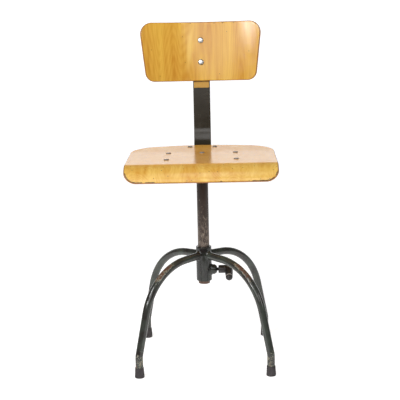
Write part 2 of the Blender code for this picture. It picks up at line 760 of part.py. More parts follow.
def make_keeper(root, seat):
    """Hat-section guide bolted up to the seat, with the strap running through it."""
    top = on_path(seat_path(), SEAT_REAR_LENGTH - KEEPER_FROM_REAR)
    tilt = SEAT_RISE_TURN
    under = Vector((0, top.x + SEAT_THICKNESS * math.sin(tilt), top.y - SEAT_THICKNESS * math.cos(tilt)))
    frame = frame_at("keeper_frame", root, under, tilt)
    drop = under.z - STRAP_UNDERSIDE + KEEPER_DEPTH / 2 * math.tan(tilt) + CONTACT_GAP
    floor = drop * math.cos(tilt)
    web = STRAP_WIDTH / 2 + KEEPER_SIDE_GAP
    bolt_x = web + KEEPER_THICKNESS + KEEPER_BOLT_EDGE
    end = bolt_x + KEEPER_MARGIN
    outer = KEEPER_BEND_RADIUS + KEEPER_THICKNESS
    inner = KEEPER_BEND_RADIUS
    quarter = math.pi / 2
    half = [
        (web - inner, 0),
        (inner * quarter, quarter),
        (floor - CONTACT_GAP - inner - outer, 0),
        (outer * quarter, -quarter),
        (end - web - outer, 0),
    ]
    right = bent_path((0, -floor), 0, half, KEEPER_BEND_STEP)
    left = bent_path((0, -floor), math.pi, [(length, -turn) for length, turn in half], KEEPER_BEND_STEP)
    path = joined_paths(left, right)
    outline = [(y, along) for along, y in rectangle(path[-1][0], KEEPER_DEPTH / 2, KEEPER_CORNER)]
    keeper = pressed_sheet("strap_keeper", outline, path, lambda y, p: (p.x, y, p.y), KEEPER_THICKNESS,
                           DARK_STEEL, frame)
    for suffix, side in (("_left", -1), ("_right", 1)):
        bolt = frame_at("keeper_bolt_frame" + suffix, frame, (side * bolt_x, 0, SEAT_THICKNESS))
        hole = bolt_set("keeper", suffix, bolt, SEAT_THICKNESS + CONTACT_GAP + KEEPER_THICKNESS,
                        SEAT_BOLT_HEAD_DIAMETER, SEAT_BOLT_HEAD_HEIGHT, washer=False)
        cut(seat, hole)
        cut(keeper, hole)


def make_backrest(root, strap, middle):
    """Curved plywood back and the blank plate below it, both on the strap's front face."""
    frame = frame_at("back_frame", root, (0, *middle), -STRAP_RECLINE)
    face = (0, -CONTACT_GAP - BACK_THICKNESS)
    turn = BACK_TOP_WIDTH / 2 / BACK_CURVE_RADIUS
    right = bent_path(face, 0, [(BACK_TOP_WIDTH / 2, -turn)], BACK_CURVE_STEP)
    left = bent_path(face, math.pi, [(BACK_TOP_WIDTH / 2, turn)], BACK_CURVE_STEP)
    foot = -BACK_HEIGHT / 2
    corners = rounded_outline([
        (-BACK_BOTTOM_WIDTH / 2, foot, BACK_BOTTOM_CORNER),
        (BACK_BOTTOM_WIDTH / 2, foot, BACK_BOTTOM_CORNER),
        (BACK_TOP_WIDTH / 2, -foot, BACK_TOP_CORNER),
        (-BACK_TOP_WIDTH / 2, -foot, BACK_TOP_CORNER),
    ])
    outline = [(height, across) for across, height in corners]
    back = pressed_sheet("backrest", outline, joined_paths(left, right), lambda h, p: (p.x, p.y, h),
                         BACK_THICKNESS, PLYWOOD, frame)
    for suffix, side in (("_upper", 1), ("_lower", -1)):
        height = side * BACK_BOLT_SPACING / 2 + BACK_BOLT_RISE
        bolt = frame_at("back_bolt_frame" + suffix, frame, (0, face[1], height), math.pi / 2)
        hole = bolt_set("back", suffix, bolt, BACK_THICKNESS + CONTACT_GAP + STRAP_THICKNESS,
                        BOLT_HEAD_DIAMETER, BOLT_HEAD_HEIGHT)
        cut(back, hole)
        cut(strap, hole)
    label_middle = foot - LABEL_BELOW_BACK - LABEL_HEIGHT / 2
    label_frame = frame_at("label_frame", frame, (0, -CONTACT_GAP, label_middle), math.pi / 2)
    label_half_width = STRAP_WIDTH / 2 - LABEL_SIDE_MARGIN
    flat_plate("label_plate", [rectangle(label_half_width, LABEL_HEIGHT / 2, LABEL_CORNER)], LABEL_THICKNESS,
               BRASS, label_frame, (0, 0, LABEL_THICKNESS / 2))


def centre_on_origin(root):
    """Moves the chair so that the middle of its footprint is the origin."""
    bpy.context.view_layer.update()
    graph = bpy.context.evaluated_depsgraph_get()
    lows = []
    highs = []
    for obj in PARTS.objects:
        if obj.type == "MESH":
            solid = obj.evaluated_get(graph)
            vertices = [solid.matrix_world @ vertex.co for vertex in solid.data.vertices]
            lows.append([min(v[axis] for v in vertices) for axis in range(3)])
            highs.append([max(v[axis] for v in vertices) for axis in range(3)])
    for axis in (0, 1):
        middle = (min(low[axis] for low in lows) + max(high[axis] for high in highs)) / 2
        root.location[axis] = -middle
    bpy.context.view_layer.update()
    print("column axis at", [round(value, 6) for value in root.location])


clear_scene()
PARTS = new_collection("workshop_chair")
CUTTERS = new_collection("cutters")

PLYWOOD = finish("varnished_plywood", (0.62, 0.36, 0.10), 0.25)
GREEN_ENAMEL = finish("green_black_enamel", (0.045, 0.055, 0.045), 0.4)
STRAP_ENAMEL = finish("olive_black_enamel", (0.04, 0.033, 0.022), 0.35)
WORN_STEEL = finish("worn_column_steel", (0.13, 0.11, 0.10), 0.45, 0.8)
DARK_STEEL = finish("dark_steel", (0.07, 0.065, 0.06), 0.5, 0.6)
ZINC = finish("dull_zinc", (0.45, 0.44, 0.42), 0.35, 1.0)
BRASS = finish("plain_brass", (0.58, 0.36, 0.09), 0.35, 1.0)
BLACK_LEVER = finish("black_casting", (0.03, 0.03, 0.028), 0.45)
BLACK_RUBBER = finish("black_rubber", (0.06, 0.055, 0.055), 0.8)

chair = frame_at("chair", None, (0, 0, 0))
hub_cope = drill("hub_cope", chair, HUB_RADIUS + CONTACT_GAP, HUB_TOP - HUB_FOOT + 2 * OVERCUT,
                 (0, 0, (HUB_TOP + HUB_FOOT) / 2), steps=ROUND_STEPS)
nose_of_boss = make_hub(chair, hub_cope)
make_legs(chair, hub_cope)
make_clamp(chair, nose_of_boss)
make_column(chair)
strap_path, back_middle = strap_stations()
back_strap = make_strap(chair, strap_path)
seat_sheet = make_seat(chair)
make_seat_plate(chair, seat_sheet)
make_keeper(chair, seat_sheet)
make_backrest(chair, back_strap, back_middle)
centre_on_origin(chair)
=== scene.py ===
"""Looks of a height-adjustable workshop chair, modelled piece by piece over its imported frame.

Metres, +Z up, the sitter faces -Y. Left and right are as the viewer in front of the chair sees them.
"""

import math

import bmesh
import bpy
from mathutils import Matrix, Vector, noise
from mathutils.kdtree import KDTree


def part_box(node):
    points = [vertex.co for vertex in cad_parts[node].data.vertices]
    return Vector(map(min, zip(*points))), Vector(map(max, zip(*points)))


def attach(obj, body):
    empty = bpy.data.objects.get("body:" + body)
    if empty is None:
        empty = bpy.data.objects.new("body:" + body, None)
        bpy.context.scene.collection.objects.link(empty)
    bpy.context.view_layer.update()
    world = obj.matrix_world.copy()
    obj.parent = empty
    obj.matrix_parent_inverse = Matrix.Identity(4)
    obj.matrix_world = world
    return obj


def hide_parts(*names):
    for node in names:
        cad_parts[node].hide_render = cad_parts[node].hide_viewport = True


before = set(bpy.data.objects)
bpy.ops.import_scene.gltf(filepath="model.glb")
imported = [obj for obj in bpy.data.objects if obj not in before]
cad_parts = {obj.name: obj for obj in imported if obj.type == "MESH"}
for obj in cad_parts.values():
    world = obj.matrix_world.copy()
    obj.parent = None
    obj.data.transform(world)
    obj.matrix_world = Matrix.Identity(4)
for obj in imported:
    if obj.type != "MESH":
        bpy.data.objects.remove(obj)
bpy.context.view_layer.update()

# Rubber feet: four ferrules, each moulded in one piece and pushed over the end of a leg.
# The cup flares a little towards a flat sole, which has a rounded edge and a shallow recess.

CORNERS = ("front_left", "front_right", "rear_right", "rear_left")
UP = Vector((0, 0, 1))
NEAR = 0.0001
UPRIGHT = 0.9
LEVEL = 0.1
SQUARE = 0.999
FOOT_SIDES = 48
FOOT_FLARE = 0.0015
FOOT_WALL = 0.001
FOOT_SOLE = 0.006
FOOT_EDGE = 0.0025
FOOT_LIP = 0.0003
FOOT_RECESS = 0.0008
FOOT_RECESS_MARGIN = 0.004


def begin(name, primitive, **settings):
    """Adds a primitive at its size and place, keeps the place in its mesh and opens it for editing."""
    bpy.ops.object.select_all(action="DESELECT")
    primitive(**settings)
    piece = bpy.context.object
    piece.name = name
    piece.data.name = name
    bpy.ops.object.transform_apply()
    bpy.ops.object.mode_set(mode="EDIT")
    return piece


def pick(kind, test):
    """Selects the faces, edges or vertices whose middle and normal pass a test.

    For an edge the test gets its direction in place of a normal.
    """
    bpy.ops.mesh.select_mode(type=kind)
    bpy.ops.mesh.select_all(action="DESELECT")
    mesh = bmesh.from_edit_mesh(bpy.context.object.data)
    mesh.normal_update()
    if kind == "FACE":
        found = [(face, face.calc_center_median(), face.normal) for face in mesh.faces]
    elif kind == "EDGE":
        ends = [(edge, edge.verts[0].co, edge.verts[1].co) for edge in mesh.edges]
        found = [(edge, (a + b) / 2, (b - a).normalized()) for edge, a, b in ends]
    else:
        found = [(vertex, vertex.co, vertex.normal) for vertex in mesh.verts]
    for part, middle, way in found:
        if test(middle, way):
            part.select_set(True)
    mesh.select_flush_mode()
    bmesh.update_edit_mesh(bpy.context.object.data)


def extrude(move, steps=1):
    """Extrudes what is selected by a move, in equal steps."""
    for _ in range(steps):
        bpy.ops.mesh.extrude_region_move(TRANSFORM_OT_translate={"value": move / steps})


def close(piece, material, crease=35):
    """Merges doubles, turns the faces out, smooths up to a crease angle and gives the finish."""
    bpy.ops.mesh.select_mode(type="VERT")
    bpy.ops.mesh.select_all(action="SELECT")
    bpy.ops.mesh.remove_doubles(threshold=NEAR / 50)
    bpy.ops.mesh.normals_make_consistent(inside=False)
    bpy.ops.object.mode_set(mode="OBJECT")
    bpy.ops.object.shade_smooth_by_angle(angle=math.radians(crease))
    piece.data.materials.append(material)
    return piece


def copy_piece(piece, name, move):
    """A copy with its own mesh, moved in that mesh by a matrix."""
    twin = bpy.data.objects.new(name, piece.data.copy())
    twin.data.name = name
    twin.data.transform(move)
    bpy.context.scene.collection.objects.link(twin)
    return twin


def settle(piece, body, slot, *nodes):
    """The piece moves with a body and stands for the named nodes, which it hides. The slot is not used."""
    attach(piece, body)
    if nodes:
        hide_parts(*nodes)


def linear(hex_colour):
    """A linear RGBA colour from an sRGB hex value such as 4A4444."""
    values = [int(hex_colour[i:i + 2], 16) / 255 for i in (0, 2, 4)]
    return [v / 12.92 if v <= 0.04045 else ((v + 0.055) / 1.055) ** 2.4 for v in values] + [1.0]


def new_material(name):
    """An empty node material, and the function that adds nodes to it."""
    material = bpy.data.materials.new(name)
    material.use_nodes = True
    tree = material.node_tree
    tree.nodes.clear()

    def add(kind, inputs=None, **settings):
        """A shader node. Inputs are values, hex colours, sockets or nodes, by name or by place."""
        node = tree.nodes.new("ShaderNode" + kind)
        if kind == "Mix":
            node.data_type = "RGBA"
        for name, value in settings.items():
            setattr(node, name, value)
        shown = [socket for socket in node.inputs if socket.enabled]
        for key, value in (inputs or {}).items():
            socket = shown[key] if isinstance(key, int) else next(s for s in shown if s.name == key)
            if isinstance(value, bpy.types.Node):
                value = next(s for s in value.outputs if s.enabled)
            if isinstance(value, bpy.types.NodeSocket):
                tree.links.new(value, socket)
            else:
                socket.default_value = linear(value) if isinstance(value, str) else value
        return node

    return material, add


# Moulded rubber, gone grey-brown with age: matt, a little dusty, with a fine mould grain.
rubber, add = new_material("aged_moulded_rubber")
where = add("TexCoord").outputs["Object"]
dust = add("TexNoise", {"Vector": where, "Scale": 1 / 0.009, "Detail": 6.0, "Roughness": 0.6})
dust = add("MapRange", {"Value": dust, "From Min": 0.35, "From Max": 0.7})
colour = add("Mix", {"Factor": dust, "A": "272325", "B": "3D3739"})
grain = add("TexNoise", {"Vector": where, "Scale": 1 / 0.0008, "Detail": 2.0})
bump = add("Bump", {"Height": grain, "Strength": 0.5, "Distance": 0.00015})
shader = add("BsdfPrincipled", {"Base Color": colour, "Roughness": 0.72, "Normal": bump})
add("OutputMaterial", {"Surface": shader})

foot_low, foot_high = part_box("foot_front_left")
foot_middle = (foot_low + foot_high) / 2
foot_height = foot_high.z - foot_low.z
foot_base = (foot_high.x - foot_low.x) / 2
foot_rim = foot_base - FOOT_FLARE
foot = begin(
    "rubber_foot_front_left", bpy.ops.mesh.primitive_cylinder_add,
    vertices=FOOT_SIDES, radius=foot_base, depth=foot_height, location=foot_middle,
)
pick("FACE", lambda at, way: way.z > UPRIGHT)
bpy.ops.transform.resize(
    value=(foot_rim / foot_base, foot_rim / foot_base, 1), center_override=foot_middle
)
bpy.ops.mesh.inset(thickness=FOOT_WALL)
extrude(UP * (FOOT_SOLE - foot_height))
pick("EDGE", lambda at, way: at.z > foot_high.z - NEAR)
bpy.ops.mesh.bevel(offset=FOOT_LIP, segments=3)
pick("EDGE", lambda at, way: at.z < foot_low.z + NEAR)
bpy.ops.mesh.bevel(offset=FOOT_EDGE, segments=6)
pick("FACE", lambda at, way: way.z < -SQUARE)
bpy.ops.mesh.inset(thickness=FOOT_RECESS_MARGIN)
bpy.ops.mesh.inset(thickness=FOOT_RECESS)
bpy.ops.transform.translate(value=(0, 0, FOOT_RECESS))
close(foot, rubber)
feet = {"front_left": foot}
for corner in CORNERS[1:]:
    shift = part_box("foot_" + corner)[0] - foot_low
    feet[corner] = copy_piece(foot, "rubber_foot_" + corner, Matrix.Translation(shift))
for corner, foot in feet.items():
    settle(foot, "base", "black_rubber", "foot_" + corner)

# Legs: four steel tubes, each bent twice and coped to the hub, then stove enamelled green-black.
# The enamel is rubbed through to rust on the front shoulders, where boots rest, and above the feet.

LEG_RADIUS = 0.0105
LEG_SIDES = 40
LEG_ROOT_HEIGHT = 0.2935
LEG_ROOT_RISE = math.radians(-3.3)
LEG_ROOT_STRAIGHT = 0.050
LEG_BEND_RADIUS = 0.1625
LEG_FOOT_STRAIGHT = 0.058
LEG_FOOT_BEND_RADIUS = 0.040
LEG_BEND_STEP = math.radians(3)
LEG_STRAIGHT_STEPS = 16
LEG_FOOT_STEPS = 8
LEG_ROOT_STEPS = 6
LEG_END_GAP = 0.0003
HUB_SEAT = 0.0004
RUB_MIDDLE = math.radians(57)
RUB_HALF_LENGTH = math.radians(21)
RUB_END_FADE = 0.7
RUB_TOPNESS = (-0.1, 0.9)
SCUFF_LOW = 0.045
SCUFF_HIGH = 0.105
SHOULDER_RUB = {"front": 0.70, "rear": 0.18}
SCUFF_RUB = {"front": 0.47, "rear": 0.26}

column_low, column_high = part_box("column_tube")
axis = Vector(((column_low.x + column_high.x) / 2, (column_low.y + column_high.y) / 2, 0))
hub_low, hub_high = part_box("hub_tube")
hub_radius = (hub_high.x - hub_low.x) / 2
leg_heading = Vector((foot_middle.x - axis.x, foot_middle.y - axis.y, 0))
leg_reach = leg_heading.length
leg_heading.normalize()
leg_rise = leg_heading * math.cos(LEG_ROOT_RISE) + UP * math.sin(LEG_ROOT_RISE)
leg_turning = UP.cross(leg_heading)
leg_root = axis + leg_heading * hub_radius + UP * LEG_ROOT_HEIGHT
bend_out = hub_radius + LEG_ROOT_STRAIGHT * math.cos(LEG_ROOT_RISE)
bend_out += LEG_BEND_RADIUS * math.sin(LEG_ROOT_RISE)
bend_height = LEG_ROOT_HEIGHT + LEG_ROOT_STRAIGHT * math.sin(LEG_ROOT_RISE)
bend_height -= LEG_BEND_RADIUS * math.cos(LEG_ROOT_RISE)
knee_out = leg_reach - bend_out
knee_drop = LEG_FOOT_STRAIGHT - bend_height
leg_splay = math.atan2(knee_drop, knee_out) + math.acos(LEG_BEND_RADIUS / math.hypot(knee_drop, knee_out))
leg_straight = math.sqrt(knee_drop ** 2 + knee_out ** 2 - LEG_BEND_RADIUS ** 2)
leg_setback = LEG_FOOT_BEND_RADIUS * math.tan(leg_splay / 2)


def on_hub(point, way, radius):
    """Slides a point along a direction, inwards, to a radius round the column's axis."""
    from_axis = Vector((point.x - axis.x, point.y - axis.y))
    flat_way = Vector((way.x, way.y))
    a = flat_way.length_squared
    b = from_axis.dot(flat_way)
    c = from_axis.length_squared - radius ** 2
    return point + way * (-b + math.sqrt(b * b - a * c)) / a


def bend_tube(centre, turning, angle):
    """Spins the open ring that is selected round a bend. The operator turns left-handed."""
    steps = math.ceil(angle / LEG_BEND_STEP)
    bpy.ops.mesh.spin(steps=steps, angle=angle, center=centre, axis=-turning)


def quarter_turned(turns):
    """A matrix that turns a piece about the column's axis by so many quarters."""
    turn = Matrix.Rotation(turns * math.pi / 2, 4, "Z")
    return Matrix.Translation(axis) @ turn @ Matrix.Translation(-axis)


def ease(value, low, high):
    """A smooth rise from 0 at low to 1 at high."""
    share = min(1.0, max(0.0, (value - low) / (high - low)))
    return share * share * (3 - 2 * share)


def stove_enamel(name, shade, light):
    """Stove enamel over steel: half-gloss with a slight orange peel.

    Where the rub attribute is high the coat breaks up, first to an older pale green, then to rust.
    """
    material, add = new_material(name)
    where = add("TexCoord").outputs["Object"]
    rub = add("Attribute", attribute_name="rub").outputs["Fac"]
    cloud = add("TexNoise", {"Vector": where, "Scale": 1 / 0.03, "Detail": 4.0})
    cloud = add("MapRange", {"Value": cloud, "From Min": 0.35, "From Max": 0.65})
    coat = add("Mix", {"Factor": cloud, "A": shade, "B": light})
    flake = add("TexNoise", {"Vector": where, "Scale": 1 / 0.007, "Detail": 7.0, "Roughness": 0.68})
    flake = add("MapRange", {"Value": flake, "From Min": 0.2, "From Max": 0.8, "To Max": 0.84})
    wear = add("Math", {0: rub, 1: flake}, operation="ADD")
    thin = add("MapRange", {"Value": wear, "From Min": 0.86, "From Max": 0.95})
    bare = add("MapRange", {"Value": wear, "From Min": 0.95, "From Max": 1.04})
    mottle = add("TexNoise", {"Vector": where, "Scale": 1 / 0.004, "Detail": 5.0})
    old_coat = add("Mix", {"Factor": mottle, "A": "66705F", "B": "B3AF98"})
    rust = add("Mix", {"Factor": mottle, "A": "321E16", "B": "6B4430"})
    patch = add("TexNoise", {"Vector": where, "Scale": 1 / 0.011, "Detail": 4.0})
    patch = add("MapRange", {"Value": patch, "From Min": 0.42, "From Max": 0.58, "To Min": 0.12})
    pale = add("Math", {0: thin, 1: patch}, operation="MULTIPLY")
    colour = add("Mix", {"Factor": pale, "A": coat, "B": old_coat})
    colour = add("Mix", {"Factor": bare, "A": colour, "B": rust})
    rough = add("MapRange", {"Value": thin, "To Min": 0.13, "To Max": 0.62})
    peel = add("TexNoise", {"Vector": where, "Scale": 1 / 0.005, "Detail": 2.0})
    height = add("Math", {0: peel, 1: thin}, operation="SUBTRACT")
    bump = add("Bump", {"Height": height, "Strength": 0.1, "Distance": 0.0001})
    shader = add("BsdfPrincipled", {"Base Color": colour, "Roughness": rough, "Normal": bump})
    add("OutputMaterial", {"Surface": shader})
    return material


leg_enamel = stove_enamel("green_black_stove_enamel", "2A2725", "3B403A")

leg = begin(
    "tube_leg_front_left", bpy.ops.mesh.primitive_circle_add, vertices=LEG_SIDES, radius=LEG_RADIUS,
    location=leg_root, rotation=leg_rise.to_track_quat("Z", "Y").to_euler(),
)
bpy.ops.mesh.select_mode(type="EDGE")
bpy.ops.mesh.select_all(action="SELECT")
extrude(leg_rise * LEG_ROOT_STRAIGHT, LEG_ROOT_STEPS)
bend_centre = axis + leg_heading * bend_out + UP * bend_height
bend_tube(bend_centre, leg_turning, math.pi / 2 + LEG_ROOT_RISE - leg_splay)
leg_fall = leg_heading * math.sin(leg_splay) - UP * math.cos(leg_splay)
extrude(leg_fall * (leg_straight - leg_setback), LEG_STRAIGHT_STEPS)
bend_tube(
    axis + leg_heading * (leg_reach - LEG_FOOT_BEND_RADIUS) + UP * (LEG_FOOT_STRAIGHT - leg_setback),
    leg_turning, leg_splay,
)
drop = LEG_FOOT_STRAIGHT - leg_setback - FOOT_SOLE - LEG_END_GAP
extrude(UP * -drop, LEG_FOOT_STEPS)
bpy.ops.mesh.edge_face_add()
mesh = bmesh.from_edit_mesh(leg.data)
mesh.verts.ensure_lookup_table()
root_ring = mesh.verts[:LEG_SIDES]
for vertex in root_ring:
    vertex.co = on_hub(vertex.co, leg_rise, hub_radius - HUB_SEAT)
bpy.ops.mesh.select_all(action="DESELECT")
for vertex in root_ring:
    vertex.select_set(True)
mesh.select_flush(True)
bmesh.update_edit_mesh(leg.data)
bpy.ops.mesh.edge_face_add()
close(leg, leg_enamel)

leg_rubs = {"front": [], "rear": []}
for vertex in leg.data.vertices:
    out = (vertex.co - axis).dot(leg_heading) - bend_out
    rise = vertex.co.z - bend_height
    topness = (math.hypot(out, rise) - LEG_BEND_RADIUS) / LEG_RADIUS
    from_middle = abs(math.atan2(rise, out) - RUB_MIDDLE) / RUB_HALF_LENGTH
    shoulder = ease(1 - from_middle, 0, RUB_END_FADE) * ease(topness, *RUB_TOPNESS)
    scuff = ease(vertex.co.z, SCUFF_HIGH, SCUFF_LOW)
    for end, rubs in leg_rubs.items():
        rubs.append(max(SHOULDER_RUB[end] * shoulder, SCUFF_RUB[end] * scuff))
legs = {"front_left": leg}
for turns, corner in enumerate(CORNERS[1:], 1):
    legs[corner] = copy_piece(leg, "tube_leg_" + corner, quarter_turned(turns))
for corner, leg in legs.items():
    rub = leg.data.attributes.new("rub", "FLOAT", "POINT")
    rub.data.foreach_set("value", leg_rubs[corner.split("_")[0]])
    settle(leg, "base", "green_enamel", "leg_" + corner)

# Leg welds: a fillet run round each leg where it meets the hub, dressed smooth and enamelled over.
# Each starts as a ring that is laid along the seam, its section pulled into a hollow fillet.

WELD_REACH = 0.006
WELD_SINK = 0.0008
WELD_STEPS = 96
WELD_SECTION = 16
WELD_RING = 0.012
WELD_WAVE = 0.06
WELD_WAVES = 3


def curve(start, knee, end, t):
    """The point at a share of the way along a curve from start to end that is drawn to a knee."""
    return start * (1 - t) ** 2 + knee * 2 * t * (1 - t) + end * t ** 2


def lay_fillet(name, seam, outward, along, material):
    """A weld fillet from a torus: seam gives its line, outward and along the tube's two directions."""
    fillet = begin(
        name, bpy.ops.mesh.primitive_torus_add, major_segments=WELD_STEPS, minor_segments=WELD_SECTION,
        major_radius=WELD_RING, minor_radius=WELD_REACH,
    )
    mesh = bmesh.from_edit_mesh(fillet.data)
    for vertex in mesh.verts:
        angle = math.atan2(vertex.co.y, vertex.co.x)
        share = math.atan2(vertex.co.z, math.hypot(vertex.co.x, vertex.co.y) - WELD_RING) / math.pi
        foot = seam(angle)
        off_hub = Vector((foot.x - axis.x, foot.y - axis.y, 0)).normalized()
        on_wall = (outward(angle) - off_hub * outward(angle).dot(off_hub)).normalized()
        reach = WELD_REACH * (1 + WELD_WAVE * noise.noise(outward(angle) * WELD_WAVES))
        tube_end = foot + along * reach - outward(angle) * WELD_SINK
        wall_end = foot + on_wall * reach - off_hub * WELD_SINK
        if abs(share) <= 0.5:
            vertex.co = curve(wall_end, foot, tube_end, share + 0.5)
        else:
            inside = foot - (outward(angle) + off_hub) * WELD_SINK
            vertex.co = (tube_end if share > 0 else wall_end).lerp(inside, 2 * abs(share) - 1)
    bmesh.update_edit_mesh(fillet.data)
    return close(fillet, material, crease=60)


# The hub, its welds, the boss and the bush flange take a darker copy of the legs' enamel: painted shade.
shaded_hub_enamel = stove_enamel("brown_black_stove_enamel", "1D1918", "262A24")
leg_top = leg_rise.cross(leg_turning)


def around_leg(angle):
    """The direction out of a leg's wall at an angle round it."""
    return leg_turning * math.cos(angle) + leg_top * math.sin(angle)


def leg_seam(angle):
    """The point at an angle round a leg where its wall meets the hub."""
    return on_hub(leg_root + around_leg(angle) * LEG_RADIUS, leg_rise, hub_radius)


weld = lay_fillet("leg_weld_front_left", leg_seam, around_leg, leg_rise, shaded_hub_enamel)
settle(weld, "base", "green_enamel")
for turns, corner in enumerate(CORNERS[1:], 1):
    settle(copy_piece(weld, "leg_weld_" + corner, quarter_turned(turns)), "base", "green_enamel")

# Hub: a short length of thick steel tube that the legs are welded to, enamelled with them.
# Both ends are turned off with an eased edge.

HUB_WALL = 0.0025
HUB_FOOT_EASE = 0.0018
HUB_TOP_EASE = 0.0006
TURN_STEPS = 72
EASE_STEPS = 5
SEED_SIZE = 0.001


def eased(corners):
    """A closed profile through (radius, height, ease) corners, each rounded over its ease."""
    points = []
    for i, (radius, height, share) in enumerate(corners):
        here = Vector((radius, height))
        if share == 0:
            points.append(here)
            continue
        before = here + (Vector(corners[i - 1][:2]) - here).normalized() * share
        after = here + (Vector(corners[(i + 1) % len(corners)][:2]) - here).normalized() * share
        points += [curve(before, here, after, k / EASE_STEPS) for k in range(EASE_STEPS + 1)]
    return points + points[:1]


def turned(name, foot, along, profile, steps=TURN_STEPS):
    """A turned piece, still open for editing: a point is drawn along a profile and spun about an axis."""
    across = along.orthogonal().normalized()
    points = [foot + across * radius + along * height for radius, height in profile]
    piece = begin(name, bpy.ops.mesh.primitive_plane_add, size=SEED_SIZE, location=points[0])
    bpy.ops.mesh.merge(type="CENTER")
    for here, there in zip(points, points[1:]):
        bpy.ops.mesh.extrude_vertices_move(TRANSFORM_OT_translate={"value": there - here})
    bpy.ops.mesh.select_all(action="SELECT")
    bpy.ops.mesh.spin(steps=steps, angle=2 * math.pi, center=foot, axis=along)
    return piece


hub = turned("hub_barrel", axis, UP, eased([
    (hub_radius, hub_high.z, HUB_TOP_EASE),
    (hub_radius, hub_low.z, HUB_FOOT_EASE),
    (hub_radius - HUB_WALL, hub_low.z, HUB_TOP_EASE),
    (hub_radius - HUB_WALL, hub_high.z, HUB_TOP_EASE),
]))
close(hub, shaded_hub_enamel)
settle(hub, "base", "green_enamel", "hub_tube")

# Clamp boss: a turned steel boss welded to the right of the hub, threaded for the clamp screw.
# It tapers to a nose, and its root is coped to the hub's wall.

BOSS_RADIUS = 0.014
BOSS_NOSE_RADIUS = 0.0093
BOSS_SHOULDER = 0.008
BOSS_BORE = 0.0053
BOSS_EASE = 0.0016
BOSS_MOUTH_EASE = 0.0004
BOSS_ROOT = 0.012
ACROSS = Vector((1, 0, 0))

boss_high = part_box("clamp_boss")[1]
clamp_foot = Vector((axis.x, axis.y, (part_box("clamp_boss")[0].z + boss_high.z) / 2))
boss_nose = boss_high.x - axis.x
boss = turned("threaded_boss", clamp_foot, ACROSS, eased([
    (BOSS_BORE, boss_nose, BOSS_MOUTH_EASE),
    (BOSS_NOSE_RADIUS, boss_nose, BOSS_EASE),
    (BOSS_RADIUS, hub_radius + BOSS_SHOULDER, BOSS_EASE),
    (BOSS_RADIUS, BOSS_ROOT, 0),
    (BOSS_BORE, BOSS_ROOT, 0),
]))
mesh = bmesh.from_edit_mesh(boss.data)
for vertex in mesh.verts:
    if vertex.co.x - axis.x < BOSS_ROOT + NEAR:
        vertex.co.x = axis.x + math.sqrt((hub_radius - HUB_SEAT) ** 2 - (vertex.co.y - axis.y) ** 2)
bmesh.update_edit_mesh(boss.data)
close(boss, shaded_hub_enamel)
settle(boss, "base", "green_enamel", "clamp_boss")


def around_boss(angle):
    """The direction out of the boss's wall at an angle round it."""
    return Vector((0, math.cos(angle), math.sin(angle)))


def boss_seam(angle):
    """The point at an angle round the boss where its wall meets the hub."""
    return on_hub(clamp_foot + around_boss(angle) * BOSS_RADIUS, ACROSS, hub_radius)


settle(lay_fillet("boss_weld", boss_seam, around_boss, ACROSS, shaded_hub_enamel), "base", "green_enamel")

# Bushes: two steel bushes that guide the column in the hub and turn with it. The upper one has an
# enamelled flange that rides on the hub's top edge, and the lower one sits flush with the hub's foot.

BUSH_BORE = 0.0163
BUSH_SLEEVE = 0.0188
FLANGE_EASE = 0.0016
BUSH_EASE = 0.0005

# Oiled steel, dark with old grease: satin, with faint turning marks about 0.6 mm apart.
oiled_steel, add = new_material("oiled_turned_steel")
where = add("TexCoord").outputs["Object"]
stretch = add("Mapping", {"Vector": where, "Scale": (1 / 0.012, 1 / 0.012, 1 / 0.0006)})
marks = add("TexNoise", {"Vector": stretch, "Scale": 1.0, "Detail": 4.0})
grease = add("TexNoise", {"Vector": where, "Scale": 1 / 0.008, "Detail": 6.0})
colour = add("Mix", {"Factor": grease, "A": "2A2624", "B": "57504B"})
rough = add("MapRange", {"Value": grease, "To Min": 0.32, "To Max": 0.6})
bump = add("Bump", {"Height": marks, "Strength": 0.25, "Distance": 0.00008})
shader = add("BsdfPrincipled", {
    "Base Color": colour, "Metallic": 0.7, "Roughness": rough, "Normal": bump,
})
add("OutputMaterial", {"Surface": shader})

upper_low, upper_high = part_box("upper_bush")
flange_foot = hub_high.z + HUB_SEAT
upper_bush = turned("flanged_bush", axis, UP, eased([
    (hub_radius, upper_high.z, FLANGE_EASE),
    (hub_radius, flange_foot, BUSH_EASE),
    (BUSH_SLEEVE, flange_foot, 0),
    (BUSH_SLEEVE, upper_low.z, BUSH_EASE),
    (BUSH_BORE, upper_low.z, BUSH_EASE),
    (BUSH_BORE, upper_high.z, BUSH_EASE),
]))
close(upper_bush, shaded_hub_enamel)
settle(upper_bush, "bearing", "dark_steel", "upper_bush")

lower_low, lower_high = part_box("lower_bush")
lower_bush = turned("plain_bush", axis, UP, eased([
    (BUSH_SLEEVE, lower_high.z, BUSH_EASE),
    (BUSH_SLEEVE, lower_low.z, BUSH_EASE),
    (BUSH_BORE, lower_low.z, BUSH_EASE),
    (BUSH_BORE, lower_high.z, BUSH_EASE),
]))
close(lower_bush, oiled_steel)
settle(lower_bush, "bearing", "dark_steel", "lower_bush")

# Clamp screw: a steel screw with a coarse thread, which shows between the boss and the lever.
# Its spigot carries the brass pad that bears on the column, out of sight in the boss.

SCREW_RADIUS = 0.005
SCREW_SPIGOT = 0.0025
SCREW_SPIGOT_LENGTH = 0.002
THREAD_PITCH = 0.0015
THREAD_DEPTH = 0.0007
SCREW_STEPS = 32


def threaded(radius, start, end, pitch, depth):
    """Profile points of a thread drawn as close ridges, from one height to another."""
    count = max(1, round(abs(end - start) / pitch))
    step = (end - start) / count
    points = []
    for i in range(count):
        points += [(radius - depth, start + step * i), (radius, start + step * (i + 0.5))]
    return points + [(radius - depth, end)]


